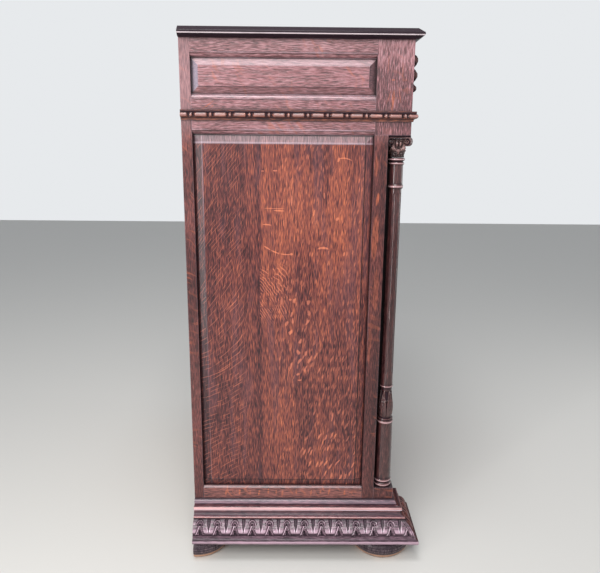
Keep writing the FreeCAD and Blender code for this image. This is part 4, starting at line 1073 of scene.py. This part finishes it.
def ornament(form, stand):
    """The three husks, painted paler where they stand out most, as wear and painted highlight."""
    outline = divided([Vector(point) for point in HUSK_OUTLINE], lambda a, b: 1.4)
    lines = [(HUSK_FOOT + height, 0.15 + 0.8 * (radius / HUSK_RADIUS) ** 2)
             for radius, height in HUSK_OUTLINE]
    turned(form, outline, HUSK_AROUND, husk_carving, lines, stand, HUSK_FOOT)


# Camera, from the photograph's own vanishing lines

CAMERA_PLACE = Vector((-1.7753, 0.0327, 1.0440))
CAMERA_PITCH = 13.7557
CAMERA_YAW = 0.5554
CAMERA_ROLL = 0.5158
SENSOR_WIDTH = 36.0
LENS = 36.0


def make_camera():
    """The camera at the photograph's place, looking at the left side."""
    data = bpy.data.cameras.new("side_camera")
    data.sensor_fit = "HORIZONTAL"
    data.sensor_width = SENSOR_WIDTH
    data.lens = LENS
    camera = bpy.data.objects.new("side_camera", data)
    bpy.context.scene.collection.objects.link(camera)
    yaw, pitch, roll = (math.radians(angle) for angle in (CAMERA_YAW, CAMERA_PITCH, CAMERA_ROLL))
    ahead = Vector((math.cos(yaw), -math.sin(yaw), 0))
    right = Vector((-math.sin(yaw), -math.cos(yaw), 0))
    up = Vector((0, 0, 1))
    forward = ahead * math.cos(pitch) - up * math.sin(pitch)
    tipped = up * math.cos(pitch) + ahead * math.sin(pitch)
    side = right * math.cos(roll) + tipped * math.sin(roll)
    top = tipped * math.cos(roll) - right * math.sin(roll)
    turn = Matrix((side, top, -forward)).transposed()
    camera.matrix_world = Matrix.Translation(CAMERA_PLACE) @ turn.to_4x4()
    bpy.context.scene.camera = camera


# Floor, sky and lamps

FLOOR_HALF = 6.0
FLOOR_COLOUR = (0.62, 0.61, 0.58, 1)
SKY_LIGHT = (0.82, 0.86, 0.92, 1)
SKY_STRENGTH = 0.45
SKY_SEEN = (0.80, 0.82, 0.84, 1)
# Each lamp: name, place, target, width, height, power, colour
LAMPS = (
    ("window", (-2.5, 0.5, 2.5), (0, 0, 0.7), 2.2, 1.5, 66, (1, 0.98, 0.96)),
    ("overhead", (-1.1, 0.2, 3.3), (-0.3, 0, 0.5), 1.1, 1.1, 42, (0.98, 0.98, 1.0)),
    ("tall_strip", (-1.66, 1.06, 0.72), (-0.37, -0.2, 0.66), 0.11, 1.3, 12, (1, 0.99, 0.98)),
    ("front_strip", (0.2, -2.3, 0.9), (-0.1, 0, 0.66), 0.22, 1.5, 6, (1, 0.99, 0.98)),
)


def area_light(name, place, target, width, height, power, colour):
    """A soft oblong lamp aimed at a target."""
    data = bpy.data.lights.new(name, "AREA")
    data.shape = "RECTANGLE"
    data.size = width
    data.size_y = height
    data.energy = power
    data.color = colour
    lamp = bpy.data.objects.new(name, data)
    lamp.location = place
    lamp.rotation_euler = (Vector(target) - Vector(place)).to_track_quat("-Z", "Y").to_euler()
    bpy.context.scene.collection.objects.link(lamp)


def make_floor():
    """The floor that the cabinet stands on."""
    mesh = bpy.data.meshes.new("floor")
    form = bmesh.new()
    bmesh.ops.create_grid(form, x_segments=1, y_segments=1, size=FLOOR_HALF)
    form.to_mesh(mesh)
    form.free()
    floor = bpy.data.objects.new("floor", mesh)
    bpy.context.scene.collection.objects.link(floor)
    mesh.materials.append(Finish("floor", 0.6).set(Base_Color=FLOOR_COLOUR))


def make_sky():
    """A sky that lights the cabinet, and a plainer one for what the camera, gloss and glass see."""
    world = bpy.data.worlds.new("room")
    bpy.context.scene.world = world
    world.use_nodes = True
    tree = world.node_tree
    light = tree.nodes["Background"]
    light.inputs["Color"].default_value = SKY_LIGHT
    light.inputs["Strength"].default_value = SKY_STRENGTH
    seen = tree.nodes.new("ShaderNodeBackground")
    seen.inputs["Color"].default_value = SKY_SEEN
    path = tree.nodes.new("ShaderNodeLightPath")
    share = path.outputs["Is Camera Ray"]
    for kind in ("Is Glossy Ray", "Is Transmission Ray"):
        either = tree.nodes.new("ShaderNodeMath")
        either.operation = "MAXIMUM"
        tree.links.new(share, either.inputs[0])
        tree.links.new(path.outputs[kind], either.inputs[1])
        share = either.outputs[0]
    blend = tree.nodes.new("ShaderNodeMixShader")
    for number, source in enumerate((share, light.outputs[0], seen.outputs[0])):
        tree.links.new(source, blend.inputs[number])
    tree.links.new(blend.outputs[0], tree.nodes["World Output"].inputs["Surface"])


# How bright each turned or moulded piece is painted, by its height in millimetres: 0 is dark, painted shade in
# the grooves with some dirt, 1 is pale, wear and painted highlight on the crests

CAP_LINES = [
    (104, 0), (105, 0.4), (106, 0.8), (107, 0.92), (109, 0.92), (109.25, 0.6), (109.5, 0.4), (110.2, 0.2),
    (111.5, 0.16), (113, 0.2), (116, 0.24), (118, 0.32), (119.2, 0.62), (120.4, 0.92), (122, 1), (124.4, 1),
    (127, 0.92), (129.4, 0.97), (130.4, 0.8), (131.2, 0.6), (131.7, 0.22), (132.8, 0.20), (134.2, 0.6),
    (136, 0.76), (138.4, 0.72), (140.2, 0.58), (142, 0.44), (143, 0.10), (145, 0.05),
]
BASE_LINES = [
    (51, 0.3), (52.4, 0.6), (53.6, 0.82), (54.8, 0.9), (59.4, 0.9), (60.6, 0.4), (61.4, 0.22), (63.4, 0.24),
    (65, 0.40), (69.5, 0.44), (71.5, 0.46), (74, 0.8), (76, 1), (99, 1), (101, 0.55), (102, 0.25), (104, 0),
]
TOP_LINES = [
    (1255, 0), (1260.4, 0.05), (1261.2, 0.86), (1263.2, 0.92), (1263.9, 0.1), (1264.6, 0), (1266.4, 0.05),
    (1267.4, 0.5), (1268.3, 0), (1271, 0), (1273, 0.15), (1277, 0.2),
]
BEAD_LINES = [
    (1084, 0.45), (1088, 0.4), (1089.6, 0), (1091, 0.5), (1093.5, 0.9), (1097, 1), (1099, 0.5), (1100.6, 0.1),
    (1101.6, 0), (1103, 0.3), (1106, 0.4),
]
FOOT_LINES = [
    (0, 1), (12, 1), (12.8, 0.1), (14.2, 0.45), (15.2, 0.8), (16.2, 0.1), (20.4, 0.4), (21.4, 0.78),
    (22.4, 0.1), (27, 0.4), (28, 0.72), (29, 0.15), (36, 0.4), (51, 0.2),
]
# The share of a cooler, greyer tone that is painted sheen, by the height in millimetres
UPPER_LINES = [(150, 0), (1030, 0), (1100, 0.9), (1277, 1)]
COOL_LINES = [(104, 0), (108, 0), (110, 0.7), (117, 0.7), (119.5, 0), (131, 0), (133, 1), (143, 1), (144, 0)]
# Changes of tone up the stiles, by the height in metres
REAR_STRETCHES = [
    (0.15, -0.07), (0.30, -0.06), (0.36, 0.08), (0.41, -0.03), (0.47, 0.03), (0.52, -0.11), (0.58, -0.14),
    (0.64, -0.24), (0.72, -0.30), (0.78, -0.28), (0.83, -0.10), (0.87, 0), (0.92, -0.12), (0.98, -0.10),
    (1.03, 0.06), (1.10, 0.09),
]
FRONT_STRETCHES = [
    (0.15, -0.07), (0.45, -0.16), (0.53, -0.08), (0.60, -0.10), (0.66, 0.02), (0.78, 0.08), (0.86, -0.06),
    (1.03, -0.05), (1.08, 0.3),
]
STILE_LIP = -0.161
# Rays and pale streaks of the frame, with the same measures as those of the panel
FRAME_MARKS = [
    (-150.2, 986.7, 26, 5, 89, 0, 0.4), (-156.1, 912.9, 17, 3.4, 84, 0, 0.8),
    (-153.3, 824.2, 60, 9, 88, 0, 0.5), (-160, 700, 60, 7, 90, 0, 0.3), (-150, 560, 50, 5, 89, 0, 0.3),
]
BLOCK_MARKS = [
    (-181, 1128, 26, 3.4, 86, 0, 0.8), (-172, 1136, 18, 1.8, 72, 0, 0.4), (-196, 1140, 20, 1.8, 100, 0, 0.35),
    (-179.7, 1172, 5, 2.2, 0, 0, 0.6), (-168, 1205, 20, 1.6, 88, 0, 0.3), (-200, 1190, 24, 1.8, 92, 0, 0.3),
]
RAIL_MARKS = [
    (231, 1112, 14, 1.3, 38, 0, 0.7), (222, 1118, 15, 1.2, 38, 0, 0.7), (214, 1115, 10, 1.2, 38, 0, 0.7),
    (120, 160, 9, 2.7, 80, 0, 1), (96, 165, 9, 2.5, 86, 0, 1), (60, 158, 10, 2.9, 82, 0, 1),
    (24, 164, 9, 2.6, 88, 0, 1), (-14, 160, 9, 2.7, 84, 0, 1), (-60, 163, 10, 2.6, 80, 0, 1),
    (-100, 160, 9, 2.5, 86, 0, 1), (170, 162, 9, 2.5, 84, 0, 1), (205, 160, 9, 2.5, 84, 0, 1),
    (76, 162, 7, 2.2, 90, 0, 0.8), (-38, 164, 7, 2.4, 88, 0, 0.8), (143, 160, 8, 2, 85, 0, 0.6),
]


def stile_tones(finish, y, z):
    """Rear and front stile, each with its own paler and darker stretches; the front one's lip is darker."""
    front = y.below(0.0, 0.01)
    rear_tone = by_height(finish, z, REAR_STRETCHES, 1.0, 0.5) * (1 - front)
    front_tone = by_height(finish, z, FRONT_STRETCHES, 1.0, 0.5) * front
    return rear_tone + front_tone - y.below(STILE_LIP, 0.003) * 0.11


def block_tones(finish, y, z):
    """The corner block is darker than the frieze but for its top."""
    return z.between(1.18, 1.225) * 0.40 - 0.28


def rail_tones(finish, y, z):
    """The bottom rail is paler than the frame."""
    return 0.20


def metal(name, turns, patches, clean, stained, gloss, dulling):
    """Metal with stained patches, duller than the rest."""
    finish = Finish(name, gloss, metal=1.0)
    stain = finish.noise([part * turns for part in finish.place()], 4.0).between(*patches)
    colour = finish.mix(stain, shade(*clean), shade(*stained))
    return finish.set(Base_Color=colour, Roughness=gloss + stain * dulling)


# Finishes, by the place on the cabinet and the way its grain runs; tones are dark, plain and bright

frieze_tones = shades((80, 44, 48), (139, 90, 94), (174, 129, 135))
frame_tones = shades((48, 24, 26), (94, 50, 48), (136, 80, 74))
band_tones = shades((46, 32, 42), (100, 76, 88), (142, 110, 124))
cap_tones = shades((48, 24, 28), (104, 58, 60), (152, 96, 94))
bead_tones = shades((44, 24, 24), (104, 58, 48), (156, 92, 68))
capital_tones = shades((16, 7, 7), (46, 22, 22), (82, 44, 42))
# The front mouldings' tones, darker than the sides' as painted shade.
dark_tones = shades((30, 12, 12), (84, 38, 36), (132, 70, 60))
column_tones = shades((24, 13, 14), (66, 37, 38), (110, 68, 64))
foot_tones = shades((44, 36, 42), (86, 74, 82), (118, 100, 104))
black_tones = shades((8, 5, 6), (16, 10, 12), (34, 24, 26))
inside_tones = shades((104, 72, 48), (146, 108, 74), (176, 138, 100))

dressed = set()


def wear(finish, *names):
    """Gives CAD nodes their finish, and notes their names."""
    dressed.update(names)
    for name in names:
        nodes[name].data.materials.clear()
        nodes[name].data.materials.append(finish)


def frame_oak(axis, **looks):
    return oak("oak_frame_grain_" + axis.lower(), axis, frame_tones, 11.0, fleck_share=0.3, worn=PALE_LILAC,
               worn_share=0.25, bloom=0.4, contrast=0.7, cool=UPPER_LINES, cool_tones=UPPER_GREYS, sheen=0.25,
               **looks)


def inside_oak(axis):
    return oak("oak_bare_inside_grain_" + axis.lower(), axis, inside_tones, 31.0, coat=0.0, rough=0.6)


def frieze_oak(part, contrast, **looks):
    return oak("oak_frieze_" + part, "Y", frieze_tones, 3.0, fleck_share=0.35, worn=PALE_LILAC,
               worn_share=0.5, marks=RAIL_MARKS, bloom=0.22, contrast=contrast, recess=0.015, dirt=1.0, **looks)


def side_moulding_oak(name, tones, seed, **looks):
    return oak(name, "Y", tones, seed, relief=True, recess=0.005, contrast=0.8, worn_share=0.2, sheen=0.15,
               **looks)


# The front mouldings are a darker, duller copy of the side ones: painted shade on faces that the light does not
# reach.
def front_moulding_oak(part):
    return oak("oak_front_" + part, "X", dark_tones, 35.0, relief=True, recess=0.005, contrast=0.7, worn=ROSE,
               worn_share=0.15, rub=0.3, rough=0.5, coat=0.2, sheen=0.08)


def turned_oak(name, tones, seed, **looks):
    return oak(name, "Z", tones, seed, relief=True, worn=ROSE, **looks)


wear(frame_oak("X"), "front_top_rail", "drawer_rail", "front_bottom_rail", "door_rails", "drawer_front")
wear(frame_oak("Z", zones=stile_tones, gap=True, marks=FRAME_MARKS), "rear_stiles", "front_stiles",
     "pedestals", "door_hinge_stile", "door_lock_stile", "door_mouldings")
wear(inside_oak("X"), "plinth_rear_board", "bottom_board", "bottom_cleats", "shelf", "shelf_cleats",
     "back_rails", "dust_board", "drawer_back", "door_stops")
wear(inside_oak("Y"), "drawer_runners", "drawer_guides", "drawer_kickers", "drawer_sides", "drawer_bottom",
     "plinth_side_boards", "plinth_front_board")
wear(inside_oak("Z"), "back_muntin", "back_panels")
wear(frieze_oak("rails", 0.9), "side_top_rails", "side_middle_rails", "panel_strips")
wear(frieze_oak("panel", 0.62, bevels=True), "frieze_panels")
wear(oak("oak_corner_block", "Z", frieze_tones, 5.0, fleck_share=0.15, slope=0.2, worn=PALE_LILAC,
         worn_share=0.3, marks=BLOCK_MARKS, zones=block_tones, contrast=1.15), "frieze_blocks")
wear(oak("oak_bottom_rail", "Y", frame_tones, 9.0, fleck_share=0.5, slope=0.2, worn=PALE_LILAC,
         worn_share=0.25, marks=RAIL_MARKS, zones=rail_tones, contrast=1.4, bloom=0.2), "side_bottom_rails")
wear(panel_oak("oak_side_panel", "Y", 7.0, side_figure), "side_panels")
wear(panel_oak("oak_door_panel", "X", 13.0, door_figure), "door_panel")
wear(oak("oak_ebonised_top", "X", black_tones, 17.0, lines=TOP_LINES, worn=TOP_GLEAM, worn_share=0.1, rub=1.0,
         coat=0.22, coat_rough=0.1, sheen=0.08), "top_board")
wear(oak("oak_foot", "Z", foot_tones, 47.0, lines=FOOT_LINES, worn=BARE_BROWN, worn_share=0.2, rub=1.0,
         coat=0.3, sheen=0.15), "front_feet", "rear_feet")
wear(metal("blackened_iron", 90, (0.45, 0.70), (92, 88, 86), (58, 40, 30), 0.36, 0.4), "lock_case",
     "lock_bolt", "door_key")
carved_nodes = {"plinth_base_sides", "plinth_base_front", "plinth_cap_sides", "plinth_cap_front",
                "bead_moulding_sides", "bead_moulding_front", "columns", "capitals", "frieze_ornaments"}
wear(metal("brass", 60, (0.42, 0.68), (196, 160, 96), (92, 66, 38), 0.3, 0.35),
     *sorted(set(nodes) - dressed - carved_nodes))
cap_oak = side_moulding_oak("oak_plinth_cap", cap_tones, 29.0, worn=RUBBED_ROSE, rub=0.95, coat=0.8,
                            shiny=BARE_GLEAM, cool=COOL_LINES)
band_oak = side_moulding_oak("oak_leaf_band", band_tones, 33.0, worn=ROSY_LILAC, rub=0.9, coat=0.7,
                             shiny=BARE_GLEAM)
bead_oak = side_moulding_oak("oak_bead_and_reel", bead_tones, 37.0, worn=ROSE, rub=0.4, coat=0.8)
column_oak = turned_oak("oak_column", column_tones, 41.0, worn_share=0.1, rub=0.2, contrast=0.5, rough=0.3,
                        coat=1.0, coat_rough=0.08, sheen=0.1, shiny=COLUMN_GLEAM)
capital_oak = turned_oak("oak_capital", capital_tones, 43.0, worn_share=0.25, rub=0.45, contrast=0.6,
                         recess=0.006, coat=0.9, coat_rough=0.12, sheen=0.1, shiny=ROSE)
ornament_oak = turned_oak("oak_frieze_ornament", capital_tones, 45.0, worn_share=0.1, rub=0.2, contrast=0.6,
                          recess=0.006, rough=0.6, coat=0.12, sheen=0.05)


# The mouldings' plans and sizes, in millimetres; divided edges are numbered from the outline's start

SIDE = 400
BACK = 285.5
FRONT = -224.5
STEP_SIDE = 350
STEP_BACK = -174.5
BAND_STEP, FRONT_BAND_STEP, CAP_STEP, BEAD_STEP = 1.15, 1.3, 12.0, 0.8
STRAIGHT_BACK, TO_LEFT, TO_RIGHT = (-1, 0), (-1, -1), (1, -1)
BASE_SECTION, BASE_FOOT, BASE_FINE, CARVED_BAND = (61.0, 53.0), 51.0, 1.1, (8,)
CAP_SECTION, CAP_FOOT, CAP_FINE = (29.5, 41.0), 104.0, 0.6
BEAD_SECTION, BEAD_FOOT, BEAD_FINE, CARVED_BEAD = (12.3, 22.0), 1084.0, 0.6, (2, 3)


def plan(*corners):
    """Corners of a moulding's plan, each with the way its mitre goes out."""
    return [(Vector((x, y)), Vector(way)) for x, y, way in corners]


side_corners = plan((-SIDE, BACK, STRAIGHT_BACK), (-SIDE, FRONT, TO_LEFT))
stepped_corners = plan((-SIDE, FRONT, TO_LEFT), (-STEP_SIDE, FRONT, TO_RIGHT),
                       (-STEP_SIDE, STEP_BACK, TO_RIGHT), (STEP_SIDE, STEP_BACK, TO_LEFT),
                       (STEP_SIDE, FRONT, TO_LEFT), (SIDE, FRONT, TO_RIGHT))
straight_corners = plan((-SIDE, FRONT, TO_LEFT), (SIDE, FRONT, TO_RIGHT))
base_sizes = (ringed(PLINTH_BASE, *BASE_SECTION, BASE_FINE, CARVED_BAND), BASE_FOOT, BASE_LINES)
cap_sizes = (ringed(PLINTH_CAP, *CAP_SECTION, CAP_FINE), CAP_FOOT, CAP_LINES)
bead_sizes = (ringed(BEAD, *BEAD_SECTION, BEAD_FINE, CARVED_BEAD), BEAD_FOOT, BEAD_LINES)
front_starts = [FRONT_LEAF_START, RETURN_LEAF_START, FRONT_LEAF_START, RETURN_LEAF_START, FRONT_LEAF_START]


def moulding(name, node, finish, corners, sizes, step, carve):
    """One moulding round the front of the cabinet, or the pair of its sides."""
    form = bmesh.new()
    moulding_run(form, corners, *sizes, step, carve, False)
    if corners is side_corners:
        moulding_run(form, corners, *sizes, step, carve, True)
    finished(name, form, "carcass", finish, [node])


make_camera()
make_floor()
make_sky()
for lamp in LAMPS:
    area_light(*lamp)
moulding("plinth_leaf_band_sides", "plinth_base_sides", band_oak, side_corners, base_sizes, BAND_STEP,
         plinth_carving([SIDE_LEAF_START]))
moulding("plinth_leaf_band_front", "plinth_base_front", front_moulding_oak("leaf_band"), stepped_corners,
         base_sizes, FRONT_BAND_STEP, plinth_carving(front_starts))
moulding("plinth_cap_moulding_sides", "plinth_cap_sides", cap_oak, side_corners, cap_sizes, CAP_STEP, uncut)
moulding("plinth_cap_moulding_front", "plinth_cap_front", front_moulding_oak("cap"), stepped_corners,
         cap_sizes, CAP_STEP, uncut)
moulding("bead_and_reel_sides", "bead_moulding_sides", bead_oak, side_corners, bead_sizes, BEAD_STEP,
         bead_carving(SIDE_BEAD_START))
moulding("bead_and_reel_front", "bead_moulding_front", bead_oak, straight_corners, bead_sizes, BEAD_STEP,
         bead_carving(FRONT_BEAD_START))
pair("fluted_columns", "columns", column_oak, COLUMN_Y, column)
pair("carved_capitals", "capitals", capital_oak, COLUMN_Y, capital)
pair("husk_drops", "frieze_ornaments", ornament_oak, HUSK_Y, ornament)

scene = bpy.context.scene
scene.view_settings.view_transform = "Standard"
